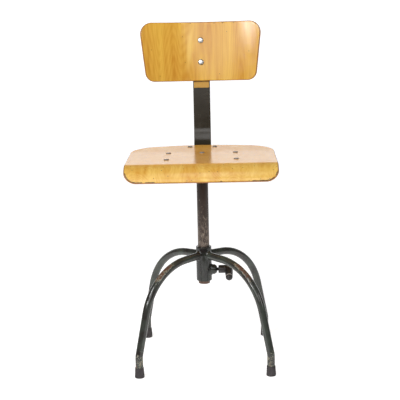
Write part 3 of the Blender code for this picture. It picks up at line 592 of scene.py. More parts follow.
screw_low, screw_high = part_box("clamp_screw")
screw_start = screw_low.x - axis.x + SCREW_SPIGOT_LENGTH
screw_end = screw_high.x - axis.x
screw = turned("threaded_clamp_screw", clamp_foot, ACROSS, [
    (0, screw_end),
    *threaded(SCREW_RADIUS, screw_end, screw_start, THREAD_PITCH, THREAD_DEPTH),
    (SCREW_SPIGOT, screw_start),
    (SCREW_SPIGOT, screw_low.x - axis.x),
    (0, screw_low.x - axis.x),
], steps=SCREW_STEPS)
close(screw, oiled_steel)
settle(screw, "clamp_handle", "dark_steel", "clamp_screw")

# Clamp lever: a stubby elbow of cast iron, painted black. Its hub is screwed on, and the arm comes
# towards the sitter and droops to a round end, with a shallow groove turned before the end.

LEVER_SIDES = 40
LEVER_HUB_RADIUS = 0.0113
LEVER_HUB_LENGTH = 0.016
LEVER_ELBOW_RADIUS = 0.0133
LEVER_ARM_RADIUS = 0.00975
LEVER_ARM_STRAIGHT = 0.027
LEVER_ARM_STEPS = 6
LEVER_DROOP = math.radians(20)
LEVER_EASE = 0.0014
LEVER_EASE_STEPS = 4
LEVER_GROOVE = 0.0006
LEVER_GROOVE_WIDTH = 0.0022
LEVER_GROOVE_WALL = 0.2
LEVER_DOME_STEPS = 8

lever_foot = clamp_foot + ACROSS * (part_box("clamp_lever")[0].x - axis.x)
arm_way = Vector((0, -math.cos(LEVER_DROOP), -math.sin(LEVER_DROOP)))
arm_turning = ACROSS.cross(arm_way)
elbow_centre = lever_foot + ACROSS * LEVER_HUB_LENGTH + arm_way * LEVER_ELBOW_RADIUS
arm_start = elbow_centre + ACROSS * LEVER_ELBOW_RADIUS
groove_place = arm_start.dot(arm_way) + LEVER_ARM_STRAIGHT - LEVER_GROOVE_WIDTH / 2

# Cast iron under worn black paint: satin, pitted by the sand mould, bare and lighter on its high spots.
# The groove is painted pale all round, a painted highlight band.
casting, add = new_material("black_painted_casting")
where = add("TexCoord").outputs["Object"]
sand = add("TexNoise", {"Vector": where, "Scale": 1 / 0.0016, "Detail": 5.0, "Roughness": 0.6})
hand = add("TexNoise", {"Vector": where, "Scale": 1 / 0.007, "Detail": 5.0})
polish = add("MapRange", {"Value": hand, "From Min": 0.52, "From Max": 0.72})
colour = add("Mix", {"Factor": polish, "A": "1B1818", "B": "3A3534"})
along = add("VectorMath", {0: where, 1: arm_way}, operation="DOT_PRODUCT").outputs["Value"]
# A pale ring painted in the groove: a painted highlight.
groove = add("Math", {0: along, 1: groove_place, 2: LEVER_GROOVE_WIDTH / 2}, operation="COMPARE")
colour = add("Mix", {"Factor": groove, "A": colour, "B": "C4BDB8"})
rough = add("MapRange", {"Value": polish, "To Min": 0.42, "To Max": 0.28})
bump = add("Bump", {"Height": sand, "Strength": 0.4, "Distance": 0.0002})
shader = add("BsdfPrincipled", {"Base Color": colour, "Roughness": rough, "Normal": bump})
add("OutputMaterial", {"Surface": shader})


def draw_out(foot, way, radius, line):
    """Draws the open ring that is selected out from a foot, through (distance, radius) places on a line.

    Gives the ring's last radius.
    """
    ring = foot
    for out, next_radius in line:
        centre = foot + way * out
        share = next_radius / radius
        extrude(centre - ring)
        if share != 1:
            bpy.ops.transform.resize(value=(share, share, share), center_override=centre)
        ring, radius = centre, next_radius
    return radius


lever = begin(
    "cast_clamp_lever", bpy.ops.mesh.primitive_circle_add, vertices=LEVER_SIDES, fill_type="NGON",
    radius=LEVER_HUB_RADIUS - LEVER_EASE, location=lever_foot, rotation=(0, math.pi / 2, 0),
)
pick("EDGE", lambda at, way: True)
quarter = [math.pi / 2 * i / LEVER_EASE_STEPS for i in range(1, LEVER_EASE_STEPS + 1)]
hub_line = [
    (LEVER_EASE * (1 - math.cos(a)), LEVER_HUB_RADIUS - LEVER_EASE * (1 - math.sin(a))) for a in quarter
]
hub_line.append((LEVER_HUB_LENGTH, LEVER_HUB_RADIUS))
radius = draw_out(lever_foot, ACROSS, LEVER_HUB_RADIUS - LEVER_EASE, hub_line)
bend_tube(elbow_centre, arm_turning, math.pi / 2)
arm_end = LEVER_ARM_STRAIGHT
taper = LEVER_ARM_RADIUS - LEVER_HUB_RADIUS
arm_line = [
    (arm_end * i / LEVER_ARM_STEPS, LEVER_HUB_RADIUS + taper * i / LEVER_ARM_STEPS)
    for i in range(1, LEVER_ARM_STEPS)
]
arm_line += [
    (arm_end - LEVER_GROOVE_WIDTH, LEVER_ARM_RADIUS),
    (arm_end - LEVER_GROOVE_WIDTH * (1 - LEVER_GROOVE_WALL), LEVER_ARM_RADIUS - LEVER_GROOVE),
    (arm_end - LEVER_GROOVE_WIDTH * LEVER_GROOVE_WALL, LEVER_ARM_RADIUS - LEVER_GROOVE),
    (arm_end, LEVER_ARM_RADIUS),
]
for i in range(1, LEVER_DOME_STEPS + 1):
    lean = math.pi / 2 * i / (LEVER_DOME_STEPS + 0.5)
    arm_line.append((arm_end + LEVER_ARM_RADIUS * math.sin(lean), LEVER_ARM_RADIUS * math.cos(lean)))
draw_out(arm_start, arm_way, radius, arm_line)
bpy.ops.mesh.edge_face_add()
close(lever, casting, crease=50)
settle(lever, "clamp_handle", "lever_casting", "clamp_lever")

# Clamp pad: a brass slug between the screw and the column, out of sight inside the boss.
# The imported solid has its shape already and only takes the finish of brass.

# Cast brass, dulled: a warm metal with a soft blotchy tarnish.
brass, add = new_material("dulled_brass")
where = add("TexCoord").outputs["Object"]
tarnish_and_rim_shade = add("TexNoise", {"Vector": where, "Scale": 1 / 0.006, "Detail": 6.0, "Roughness": 0.6})
colour = add("Mix", {"Factor": tarnish_and_rim_shade, "A": "AE823C", "B": "CCA35A"})
rough = add("MapRange", {"Value": tarnish_and_rim_shade, "To Min": 0.6, "To Max": 0.45})
shader = add("BsdfPrincipled", {"Base Color": colour, "Metallic": 0.8, "Roughness": rough})
add("OutputMaterial", {"Surface": shader})
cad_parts["clamp_pad"].data.materials.clear()
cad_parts["clamp_pad"].data.materials.append(brass)

# Column: a drawn steel tube that slides and turns in the hub. The brown-black finish of its upper
# half is whole, and the lower half, which runs in and out of the hub, is scratched to bare steel.

COLUMN_WALL = 0.0025
COLUMN_FOOT_EASE = 0.0022
COLUMN_EDGE = 0.0005
SCRATCH_TOP = 0.50
SCRATCH_FULL = 0.34
RUST_EDGE = 0.002

# Browned steel: dark and satin, with short slanted scratches and rubbed spots that grow towards the hub,
# and a rusty foot.
browned_steel, add = new_material("browned_scratched_steel")
where = add("TexCoord").outputs["Object"]
height = add("SeparateXYZ", {"Vector": where}).outputs["Z"]
reach = add("MapRange", {
    "Value": height, "From Min": SCRATCH_TOP, "From Max": SCRATCH_FULL, "To Min": -0.12, "To Max": 0.045,
})
slant = add("Mapping", {
    "Vector": where, "Rotation": (0.5, 0.6, 0.2), "Scale": (1 / 0.0016, 1 / 0.0016, 1 / 0.010),
})
lines = add("TexNoise", {
    "Vector": slant, "Scale": 1.0, "Detail": 5.0, "Roughness": 0.7, "Distortion": 0.6,
})
spots = add("TexNoise", {"Vector": where, "Scale": 1 / 0.009, "Detail": 7.0, "Roughness": 0.75})
both = add("Math", {0: lines, 1: spots, 2: 0.25}, operation="MULTIPLY_ADD")
worn = add("Math", {0: both, 1: reach}, operation="ADD")
worn = add("MapRange", {"Value": worn, "From Min": 0.50, "From Max": 0.66})
dull = add("TexNoise", {"Vector": where, "Scale": 1 / 0.02, "Detail": 5.0})
brown = add("Mix", {"Factor": dull, "A": "2A2220", "B": "3B302B"})
rubbed = add("MapRange", {"Value": height, "From Min": SCRATCH_TOP, "From Max": SCRATCH_FULL})
brown = add("Mix", {"Factor": rubbed, "A": brown, "B": "403631"})
bare = add("Mix", {"Factor": spots, "A": "6E5F53", "B": "B0A192"})
colour = add("Mix", {"Factor": worn, "A": brown, "B": bare})
foot = add("MapRange", {
    "Value": height, "From Min": hub_low.z, "From Max": hub_low.z - RUST_EDGE, "To Max": 0.7,
})
colour = add("Mix", {"Factor": foot, "A": colour, "B": "5F3F31"})
rough = add("MapRange", {"Value": worn, "To Min": 0.36, "To Max": 0.5})
bump = add("Bump", {"Height": worn, "Strength": 0.3, "Distance": 0.0001})
shader = add("BsdfPrincipled", {
    "Base Color": colour, "Specular IOR Level": 0.35, "Roughness": rough, "Normal": bump,
})
add("OutputMaterial", {"Surface": shader})

column_radius = (column_high.x - column_low.x) / 2
column = turned("seat_column_tube", axis, UP, eased([
    (column_radius, column_high.z, COLUMN_EDGE),
    (column_radius, column_low.z, COLUMN_FOOT_EASE),
    (column_radius - COLUMN_WALL, column_low.z, COLUMN_EDGE),
    (column_radius - COLUMN_WALL, column_high.z, COLUMN_EDGE),
]))
close(column, browned_steel)
settle(column, "seat_column", "column_steel", "column_tube")

# Socket: a flanged steel collar that the column is pushed up into, fixed under the seat plate.
# It is turned from bar, with a fillet between the sleeve and the flange.

SOCKET_BORE = 0.0163
SOCKET_SLEEVE = 0.0213
SOCKET_FLANGE = 0.004
SOCKET_FILLET = 0.003
SOCKET_EASE = 0.0008
SOCKET_EDGE = 0.0002

socket_low, socket_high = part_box("column_socket")
socket_flange_radius = (socket_high.x - socket_low.x) / 2
socket = turned("flanged_column_socket", axis, UP, eased([
    (socket_flange_radius, socket_high.z, SOCKET_EDGE),
    (socket_flange_radius, socket_high.z - SOCKET_FLANGE, SOCKET_EASE),
    (SOCKET_SLEEVE, socket_high.z - SOCKET_FLANGE, SOCKET_FILLET),
    (SOCKET_SLEEVE, socket_low.z, SOCKET_EASE),
    (SOCKET_BORE, socket_low.z, SOCKET_EASE),
    (SOCKET_BORE, socket_high.z, SOCKET_EASE),
]))
close(socket, oiled_steel)
settle(socket, "seat_column", "dark_steel", "column_socket")

# Seat plate: a rectangle of steel plate with rounded corners that spreads the load under the seat.
# Its edges are only deburred, and it is painted black.

PLATE_CORNER = 0.014
PLATE_DEBURR = 0.0005

# Black paint brushed on plate: satin, with the brush's long streaks about 1.5 mm wide.
black_paint, add = new_material("brushed_black_paint")
where = add("TexCoord").outputs["Object"]
stretch = add("Mapping", {"Vector": where, "Scale": (1 / 0.05, 1 / 0.0015, 1 / 0.0015)})
streaks = add("TexNoise", {"Vector": stretch, "Scale": 1.0, "Detail": 4.0})
colour = add("Mix", {"Factor": streaks, "A": "211F1E", "B": "34312F"})
rough = add("MapRange", {"Value": streaks, "To Min": 0.38, "To Max": 0.55})
bump = add("Bump", {"Height": streaks, "Strength": 0.3, "Distance": 0.0001})
shader = add("BsdfPrincipled", {"Base Color": colour, "Roughness": rough, "Normal": bump})
add("OutputMaterial", {"Surface": shader})

plate_low, plate_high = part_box("seat_plate")
plate = begin(
    "pressed_seat_plate", bpy.ops.mesh.primitive_cube_add, size=1,
    location=(plate_low + plate_high) / 2, scale=plate_high - plate_low,
)
pick("EDGE", lambda at, way: abs(way.z) > UPRIGHT)
bpy.ops.mesh.bevel(offset=PLATE_CORNER, segments=10)
pick("EDGE", lambda at, way: abs(way.z) < LEVEL)
bpy.ops.mesh.bevel(offset=PLATE_DEBURR, segments=2)
close(plate, black_paint)
settle(plate, "seat_column", "dark_steel", "seat_plate")

# Seat: one sheet of rotary-cut plywood, pressed with a turned-down lip and a slight rise behind.
# It is cut to a bowed rear edge with big corners, sanded round on its rim and varnished amber.

SEAT_THICKNESS = 0.010
SEAT_WIDTH = 0.403
SEAT_REAR_WIDTH = 0.4125
SEAT_LIP_RADIUS = 0.050
SEAT_LIP_TURN = math.radians(84)
SEAT_FLAT_FRONT = 0.136
SEAT_FLAT_REAR = 0.075
SEAT_RISE_RADIUS = 0.600
SEAT_RISE_TURN = math.radians(3.6)
SEAT_REAR_STRAIGHT = 0.094
SEAT_REAR_BOW = 0.039
SEAT_REAR_BOW_RADIUS = 0.570
SEAT_FRONT_CORNER = 0.034
SEAT_REAR_CORNER = 0.088
SEAT_RIM_EASE = 0.0036
SEAT_LIP_CUT = math.radians(3)
SHEET_GRID = 0.008
SHEET_HOLD = 0.0015
SHEET_HOLDS = 3
OUTLINE_STEP = 0.002
CONTACT_GAP = 0.0003
ALONG = Vector((0, 1, 0))
PLY_THICKNESS = 0.0014
CHIP_DEPTH = 0.0011
CHIP_REACH = 0.0062
CHIP_LINE = 0.0040
CHIP_FACE_DEPTH = 0.006
LIP_CHIP_BAND = 0.03
LIP_CHIPS_RIGHT = (0.08, 0.16)
LIP_CHIPS_LEFT = (0.10, 0.17)
LIP_CRUMBS_ACROSS = 90
LIP_CRUMBS_ALONG = 60
LIP_CRUMB_SEED = 7
LIP_CRUMB_EDGE = (0.15, 0.5)
LIP_CHIP_WEIGHT = 0.6
STREAK_LEAN = math.radians(5)
ARCH_SPACING = 0.07
ARCH_WANDER = 14
BAND_TONE = 0.9
FIGURE_TONE = 0.5
GRAIN_TONE = 0.45
ARCH_TONE = 0.05
TONE_OFFSET = -0.2
TONE_MIDDLE = 0.73
SPECK_RADIUS = 0.0015
SPECK_CORE = 0.0007
VARNISH_SMEAR = 0.08
CHIP_ROUGHNESS = 0.5


def rounded_outline(corners, step=OUTLINE_STEP):
    """An anticlockwise outline of evenly spaced points through (x, y, radius) corners."""
    runs = []
    for i, (x, y, radius) in enumerate(corners):
        here = Vector((x, y))
        before = (Vector(corners[i - 1][:2]) - here).normalized()
        after = (Vector(corners[(i + 1) % len(corners)][:2]) - here).normalized()
        half = before.angle(after) / 2
        centre = here + (before + after).normalized() * radius / math.sin(half)
        first = here + before * radius / math.tan(half) - centre
        start = math.atan2(first.y, first.x)
        sweep = math.pi - 2 * half
        count = max(6, round(radius * sweep / step))
        angles = [start + sweep * k / count for k in range(count + 1)]
        runs.append([centre + radius * Vector((math.cos(a), math.sin(a))) for a in angles])
    points = []
    for i, run in enumerate(runs):
        points += run
        gap = runs[(i + 1) % len(runs)][0] - run[-1]
        count = max(1, round(gap.length / step))
        points += [run[-1] + gap * k / count for k in range(1, count)]
    return points


def bent_line(start, heading, runs):
    """A line of straight runs and arcs, as (length, turn): gives the point and heading at a distance."""
    def at(distance):
        point = Vector(start)
        angle = heading
        for i, (length, turn) in enumerate(runs):
            last = i == len(runs) - 1
            step = distance if last or distance < length else length
            half = turn * step / length / 2
            chord = step * math.sin(half) / half if half else step
            point += chord * Vector((math.cos(angle + half), math.sin(angle + half)))
            angle += 2 * half
            distance -= step
            if distance <= 0 and not last:
                break
        return point, angle
    return at


def flat_blank(name, outline, thickness, rim_ease, holds=0):
    """A flat sheet cut to an outline, its face on z = 0 and its rim rounded, still open for editing.

    Holds are rows of narrow faces inside the rim, which keep the shading of a bend off it.
    """
    blank = begin(name, bpy.ops.mesh.primitive_circle_add, vertices=len(outline), fill_type="NGON")
    mesh = bmesh.from_edit_mesh(blank.data)
    mesh.verts.ensure_lookup_table()
    for vertex, point in zip(mesh.verts, outline):
        vertex.co = (point.x, point.y, 0)
    bmesh.update_edit_mesh(blank.data)
    bpy.ops.mesh.select_all(action="SELECT")
    extrude(UP * -thickness)
    bpy.ops.mesh.select_all(action="SELECT")
    bpy.ops.mesh.normals_make_consistent(inside=False)
    pick("EDGE", lambda at, way: abs(way.z) < LEVEL)
    bpy.ops.mesh.bevel(offset=rim_ease, segments=4)
    if holds:
        pick("FACE", lambda at, way: abs(way.z) > SQUARE)
    for _ in range(holds):
        bpy.ops.mesh.inset(thickness=SHEET_HOLD)
    return blank


def score(along, places):
    """Cuts the whole sheet across, square to a direction, at each of these distances."""
    for place in places:
        bpy.ops.mesh.select_all(action="SELECT")
        bpy.ops.mesh.bisect(plane_co=along * place, plane_no=along)


def spaced(low, high, step):
    """Distances from low to high, ends left out, about a step apart."""
    count = max(1, round((high - low) / step))
    return [low + (high - low) * i / count for i in range(1, count)]


def pressed_along(line, start=0.0):
    """Gives the function that places a flat point of a sheet which is bent along its length."""
    def place(x, along, height):
        point, angle = line(along - start)
        return Vector((axis.x + x, point.x - math.sin(angle) * height, point.y + math.cos(angle) * height))
    return place


def press(sheet, place):
    """Bends a finished blank. Its flat place is kept, for grain that follows the sheet."""
    flat = sheet.data.attributes.new("flat", "FLOAT_VECTOR", "POINT")
    for vertex, kept in zip(sheet.data.vertices, flat.data):
        kept.vector = vertex.co
        vertex.co = place(*vertex.co)


def mark_rim(sheet, outline, thickness, chip):
    """Keeps how far each point belongs to the sawn rim, and how badly it is chipped there.

    Chips eat into the rim and reach a few millimetres on to the faces.
    """
    edge = KDTree(len(outline))
    for i, point in enumerate(outline):
        edge.insert((point.x, point.y, 0), i)
    edge.balance()
    rim = sheet.data.attributes.new("rim", "FLOAT", "POINT")
    chipped = sheet.data.attributes.new("chip", "FLOAT", "POINT")
    for i, vertex in enumerate(sheet.data.vertices):
        x, y, z = vertex.co
        inside = edge.find((x, y, 0))[2]
        on_rim = -thickness + NEAR < z < -NEAR
        rim.data[i].value = 1.0 if on_rim else 0.0
        amount = chip(x, y, z) * ease(abs(inside - CHIP_LINE), CHIP_REACH - CHIP_LINE, 0)
        chipped.data[i].value = amount
        if on_rim:
            vertex.co -= Vector((vertex.normal.x, vertex.normal.y, 0)) * CHIP_DEPTH * amount


def varnished_ply(name, shade, light, deep, contrast, gloss, draw, speck_spacing, streak=None):
    """Amber varnish over rotary-cut birch ply: glossy, with a soft grain, fine flecks and dark specks.

    Broad bands are about 50 mm wide, arched figure lines 7 mm and grain lines 1.4 mm apart, all of them
    drawn out along the grain. Seen at a slant, the colour is painted a deeper orange: a painted sheen.
    The sawn rim shows its plies, and chips on it are dark with dirt. Gloss is the roughness of a clean
    spot.
    """
    material, add = new_material(name)
    flat = add("Attribute", attribute_name="flat").outputs["Vector"]
    rim = add("Attribute", attribute_name="rim").outputs["Fac"]
    chip = add("Attribute", attribute_name="chip").outputs["Fac"]

    def figure(width, length, **settings):
        """Noise drawn out along the grain."""
        drawn = add("Mapping", {"Vector": flat, "Scale": (1 / width, 1 / (length * draw), 1 / width)})
        return add("TexNoise", {"Vector": drawn, "Scale": 1.0, **settings})

    def weighted(value, weight, rest):
        """A value times a weight, plus the rest."""
        return add("Math", {0: value, 1: weight, 2: rest}, operation="MULTIPLY_ADD")

    grain = figure(0.0014, 0.05, Detail=3.0, Roughness=0.6)
    along = add("SeparateXYZ", {"Vector": flat}).outputs["Y"]
    phase = weighted(figure(0.050, 0.35, Detail=0.5), 2 * math.pi * ARCH_WANDER, 0.0)
    phase = weighted(along, 2 * math.pi / ARCH_SPACING, phase)
    arches = add("Math", {0: phase}, operation="SINE")
    tone = weighted(figure(0.05, 0.5, Detail=2.0), BAND_TONE, TONE_OFFSET)
    tone = weighted(figure(0.010, 0.22, Detail=3.0), FIGURE_TONE, tone)
    tone = weighted(grain, GRAIN_TONE, tone)
    tone = weighted(arches, ARCH_TONE, tone)
    tone = add("MapRange", {
        "Value": tone, "From Min": TONE_MIDDLE - contrast, "From Max": TONE_MIDDLE + contrast,
    })
    colour = add("Mix", {"Factor": tone, "A": shade, "B": light})
    if streak:
        middle, half_width, half_length, tint = streak
        local = add("VectorMath", {0: flat, 1: (*middle, 0)}, operation="SUBTRACT")
        local = add("VectorRotate", {"Vector": local, "Angle": STREAK_LEAN}, rotation_type="Z_AXIS")
        local = add("VectorMath", {
            0: local, 1: (1 / half_width, 1 / half_length, 0),
        }, operation="MULTIPLY")
        away = add("VectorMath", {0: local}, operation="LENGTH").outputs["Value"]
        here = add("MapRange", {
            "Value": away, "From Min": 1.3, "From Max": 0.3, "To Max": 0.75,
        }, interpolation_type="SMOOTHSTEP")
        colour = add("Mix", {"Factor": here, "A": colour, "B": tint})
    # Seen at a slant the colour is painted towards a deeper orange tint, a painted sheen.
    slant = add("LayerWeight", {"Blend": 0.5}).outputs["Facing"]
    slant = add("MapRange", {"Value": slant, "From Min": 0.5, "From Max": 0.9, "To Max": 0.7})
    colour = add("Mix", {"Factor": slant, "A": colour, "B": deep})
    flecks = add("MapRange", {
        "Value": figure(0.0016, 0.005, Detail=2.0), "From Min": 0.70, "From Max": 0.78, "To Max": 0.45,
    })
    colour = add("Mix", {"Factor": flecks, "A": colour, "B": "6A3F17"})
    specks = add("TexVoronoi", {"Vector": flat, "Scale": 1 / speck_spacing}, voronoi_dimensions="2D")
    specks = add("MapRange", {
        "Value": specks.outputs["Distance"], "To Max": 0.8,
        "From Min": SPECK_RADIUS / speck_spacing, "From Max": SPECK_CORE / speck_spacing,
    })
    colour = add("Mix", {"Factor": specks, "A": colour, "B": "3A2412"})
    depth = add("SeparateXYZ", {"Vector": flat}).outputs["Z"]
    layer = add("Math", {0: depth, 1: math.pi / PLY_THICKNESS}, operation="MULTIPLY")
    layer = add("Math", {0: layer}, operation="SINE")
    layer = add("MapRange", {"Value": layer, "From Min": -0.5, "From Max": 0.5})
    plies = add("Mix", {"Factor": layer, "A": "8E5A26", "B": "C48C45"})
    colour = add("Mix", {"Factor": rim, "A": colour, "B": plies})
    crumble = add("TexNoise", {"Vector": flat, "Scale": 1 / 0.003, "Detail": 5.0})
    broken = add("Math", {0: chip, 1: crumble}, operation="ADD")
    broken = add("MapRange", {"Value": broken, "From Min": 0.95, "From Max": 1.15})
    colour = add("Mix", {"Factor": broken, "A": colour, "B": "2E1D11"})
    smear = add("TexNoise", {"Vector": flat, "Scale": 1 / 0.03, "Detail": 5.0})
    rough = add("MapRange", {
        "Value": smear, "From Min": 0.3, "From Max": 0.7,
        "To Min": gloss, "To Max": gloss + VARNISH_SMEAR,
    })
    rough = weighted(broken, CHIP_ROUGHNESS, rough)
    bump = add("Bump", {"Height": grain, "Strength": 0.05, "Distance": 0.00005})
    shader = add("BsdfPrincipled", {"Base Color": colour, "Roughness": rough, "IOR": 1.5, "Normal": bump})
    add("OutputMaterial", {"Surface": shader})
    return material


seat_ply = varnished_ply(
    "varnished_seat_plywood", shade="CC9030", light="EAC466", deep="FFB347",
    contrast=0.26, gloss=0.17, draw=0.2, speck_spacing=0.032,
)

lip_length = SEAT_LIP_RADIUS * SEAT_LIP_TURN
seat_rear = SEAT_FLAT_REAR + SEAT_RISE_RADIUS * SEAT_RISE_TURN + SEAT_REAR_STRAIGHT
seat_front = -SEAT_FLAT_FRONT - lip_length
seat_top = plate_high.z + CONTACT_GAP + SEAT_THICKNESS
seat_line = bent_line(
    (
        axis.y - SEAT_FLAT_FRONT - SEAT_LIP_RADIUS * math.sin(SEAT_LIP_TURN),
        seat_top - SEAT_LIP_RADIUS * (1 - math.cos(SEAT_LIP_TURN)),
    ),
    SEAT_LIP_TURN,
    [
        (lip_length, -SEAT_LIP_TURN),
        (SEAT_FLAT_FRONT + SEAT_FLAT_REAR, 0),
        (SEAT_RISE_RADIUS * SEAT_RISE_TURN, SEAT_RISE_TURN),
        (SEAT_REAR_STRAIGHT, 0),
    ],
)
seat_place = pressed_along(seat_line, seat_front)


def seat_chip(x, along, height):
    """Chips on the lip's edge, thick at its right end and left corner and sparse between."""
    if along > seat_front + LIP_CHIP_BAND or height < -CHIP_FACE_DEPTH:
        return 0.0
    thick = ease(x, *LIP_CHIPS_RIGHT) + ease(-x, *LIP_CHIPS_LEFT)
    crumb = noise.noise(Vector((x * LIP_CRUMBS_ACROSS, along * LIP_CRUMBS_ALONG, LIP_CRUMB_SEED)))
    return ease(crumb + LIP_CHIP_WEIGHT * thick, *LIP_CRUMB_EDGE)


front_side = SEAT_WIDTH / 2
rear_side = SEAT_REAR_WIDTH / 2
shoulder = seat_rear - SEAT_REAR_BOW
seat_outline = rounded_outline([
    (-front_side, seat_front, SEAT_FRONT_CORNER),
    (front_side, seat_front, SEAT_FRONT_CORNER),
    (rear_side, shoulder, SEAT_REAR_CORNER),
    (0, seat_rear, SEAT_REAR_BOW_RADIUS),
    (-rear_side, shoulder, SEAT_REAR_CORNER),
])
seat = flat_blank("plywood_seat", seat_outline, SEAT_THICKNESS, SEAT_RIM_EASE, SHEET_HOLDS)
score(ALONG, spaced(seat_front, -SEAT_FLAT_FRONT, SEAT_LIP_RADIUS * SEAT_LIP_CUT))
score(ALONG, [-SEAT_FLAT_FRONT] + spaced(-SEAT_FLAT_FRONT, seat_rear, 2 * SHEET_GRID))
close(seat, seat_ply)
mark_rim(seat, seat_outline, SEAT_THICKNESS, seat_chip)
press(seat, seat_place)
settle(seat, "seat_column", "varnished_plywood", "seat")

# Seat fasteners: coach bolts down through the seat, with nuts under it. Four hold the plate and one
# clamps the back strap through its slot, on washers, and two hold the strap's guide.

BOLT_RADIUS = 0.003
SEAT_BOLT_HEAD = (0.0069, 0.0026)
BOLT_HEAD_EDGE = 0.0005
DOME_SQUARENESS = 3.2
DOME_STEPS = 16
RIM_START = 0.70
RIM_FULL = 0.92
RIM_PAINTED_SHADE = 0.9
BOLT_TAIL = 0.002
BOLT_PITCH = 0.001
BOLT_THREAD = 0.0004
FASTENER_STEPS = 40
WASHER_RADIUS = 0.007
WASHER_BORE = 0.0033
WASHER_THICKNESS = 0.0012
WASHER_EDGE = 0.0003
WASHER_BORE_EDGE = 0.0002
NUT_ACROSS_FLATS = 0.0114
NUT_CHAMFER = math.tan(math.radians(30))
NUT_HEIGHT = 0.005
NUT_OVERSIZE = 1.1
NUT_STEPS = 48
PLATE_THICKNESS = 0.004
STRAP_THICKNESS = 0.005
KEEPER_THICKNESS = 0.0025
SEAT_BOLT_HALF_WIDTH = 0.094
SEAT_BOLT_HALF_DEPTH = 0.065
KEEPER_FROM_REAR = 0.042
KEEPER_BOLT_HALF_WIDTH = 0.036


def plated_steel(name, shade, light, rim_tint, smoothest, roughest):
    """Plated steel: pale metal clouded in patches a few millimetres across, with painted shade at its rim.
    """
    material, add = new_material(name)
    where = add("TexCoord").outputs["Object"]
    rim = add("Attribute", attribute_name="rim").outputs["Fac"]
    cloud = add("TexNoise", {"Vector": where, "Scale": 1 / 0.004, "Detail": 4.0})
    colour = add("Mix", {"Factor": cloud, "A": shade, "B": light})
    # Painted shade towards the rim; on the nickel it is also a painted reflection of the wood.
    colour = add("Mix", {"Factor": rim, "A": colour, "B": rim_tint})
    rough = add("MapRange", {"Value": cloud, "To Min": roughest, "To Max": smoothest})
    bump = add("Bump", {"Height": cloud, "Strength": 0.1, "Distance": 0.00003})
    shader = add("BsdfPrincipled", {
        "Base Color": colour, "Metallic": 1.0, "Roughness": rough, "Normal": bump,
    })
    add("OutputMaterial", {"Surface": shader})
    return material


def coach_bolt(head, grip, material):
    """A coach bolt at the origin, head up: a low dome, a shank and a threaded end past the nut.

    The dome is flatter in the middle than a ball and steeper at its edge.
    """
    radius, height = head
    crown = []
    for i in range(DOME_STEPS):
        out = math.sin(math.pi / 2 * i / DOME_STEPS)
        rise = (height - BOLT_HEAD_EDGE) * math.sqrt(1 - out ** DOME_SQUARENESS)
        crown.append((radius * out, CONTACT_GAP + BOLT_HEAD_EDGE + rise))
    tip = -grip - BOLT_TAIL
    bolt = turned("coach_bolt", Vector(), UP, [
        *crown,
        (radius, CONTACT_GAP + BOLT_HEAD_EDGE),
        (radius, CONTACT_GAP),
        (BOLT_RADIUS, CONTACT_GAP),
        *threaded(BOLT_RADIUS, 2 * BOLT_PITCH - grip, tip, BOLT_PITCH, BOLT_THREAD),
        (0, tip),
    ], steps=FASTENER_STEPS)
    close(bolt, material)
    # The head's outer part gets painted shade, growing towards its edge.
    rim = bolt.data.attributes.new("rim", "FLOAT", "POINT")
    for vertex, tarnish_and_rim_shade in zip(bolt.data.vertices, rim.data):
        out = math.hypot(vertex.co.x, vertex.co.y) / radius
        tarnish_and_rim_shade.value = RIM_PAINTED_SHADE * ease(out, RIM_START, RIM_FULL)
    return bolt


def flat_washer(foot, material):
    """A washer at the origin, lying on a height."""
    washer = turned("flat_washer", Vector(), UP, eased([
        (WASHER_RADIUS, foot + WASHER_THICKNESS, WASHER_EDGE),
        (WASHER_RADIUS, foot, WASHER_EDGE),
        (WASHER_BORE, foot, WASHER_BORE_EDGE),
        (WASHER_BORE, foot + WASHER_THICKNESS, WASHER_BORE_EDGE),
    ]), steps=FASTENER_STEPS)
    return close(washer, material)


def hex_nut(foot, material):
    """A nut at the origin, lying on a height: a ring drawn out to six flats, chamfered both ends."""
    apothem = NUT_ACROSS_FLATS / 2
    outer = apothem * NUT_OVERSIZE
    top = foot + NUT_HEIGHT
    nut = turned("hex_nut", Vector(), UP, [
        (WASHER_BORE, top), (apothem, top), (outer, top),
        (outer, foot), (apothem, foot), (WASHER_BORE, foot), (WASHER_BORE, top),
    ], steps=NUT_STEPS)
    mesh = bmesh.from_edit_mesh(nut.data)
    middle = foot + NUT_HEIGHT / 2
    for vertex in mesh.verts:
        radius = math.hypot(vertex.co.x, vertex.co.y)
        if radius > (apothem + outer) / 2:
            angle = math.atan2(vertex.co.y, vertex.co.x)
            flat = apothem / math.cos((angle % (math.pi / 3)) - math.pi / 6)
            drop = (flat - apothem) * NUT_CHAMFER
            vertex.co.x *= flat / radius
            vertex.co.y *= flat / radius
            vertex.co.z += -drop if vertex.co.z > middle else drop
    bmesh.update_edit_mesh(nut.data)
    return close(nut, material, crease=25)


def fasten(group, body, places, head, grip, washer, head_finish, nut_finish):
    """A bolt, a washer if there is one, and a nut at each place, from one model of each."""
    seat_of_nut = grip + (CONTACT_GAP + WASHER_THICKNESS if washer else 0)
    nut_foot = -seat_of_nut - CONTACT_GAP - NUT_HEIGHT
    models = [
        ("coach_bolt", "bolt", coach_bolt(head, -nut_foot, head_finish)),
        ("hex_nut", "nut", hex_nut(nut_foot, nut_finish)),
    ]
    if washer:
        models.append(("flat_washer", "washer", flat_washer(-seat_of_nut, nut_finish)))
    for suffix, place in places.items():
        for kind, node, model in models:
            copy = copy_piece(model, f"{group}_{kind}{suffix}", place)
            settle(copy, body, "zinc_fasteners", f"{group}_{node}{suffix}")
    for _, _, model in models:
        bpy.data.objects.remove(model)
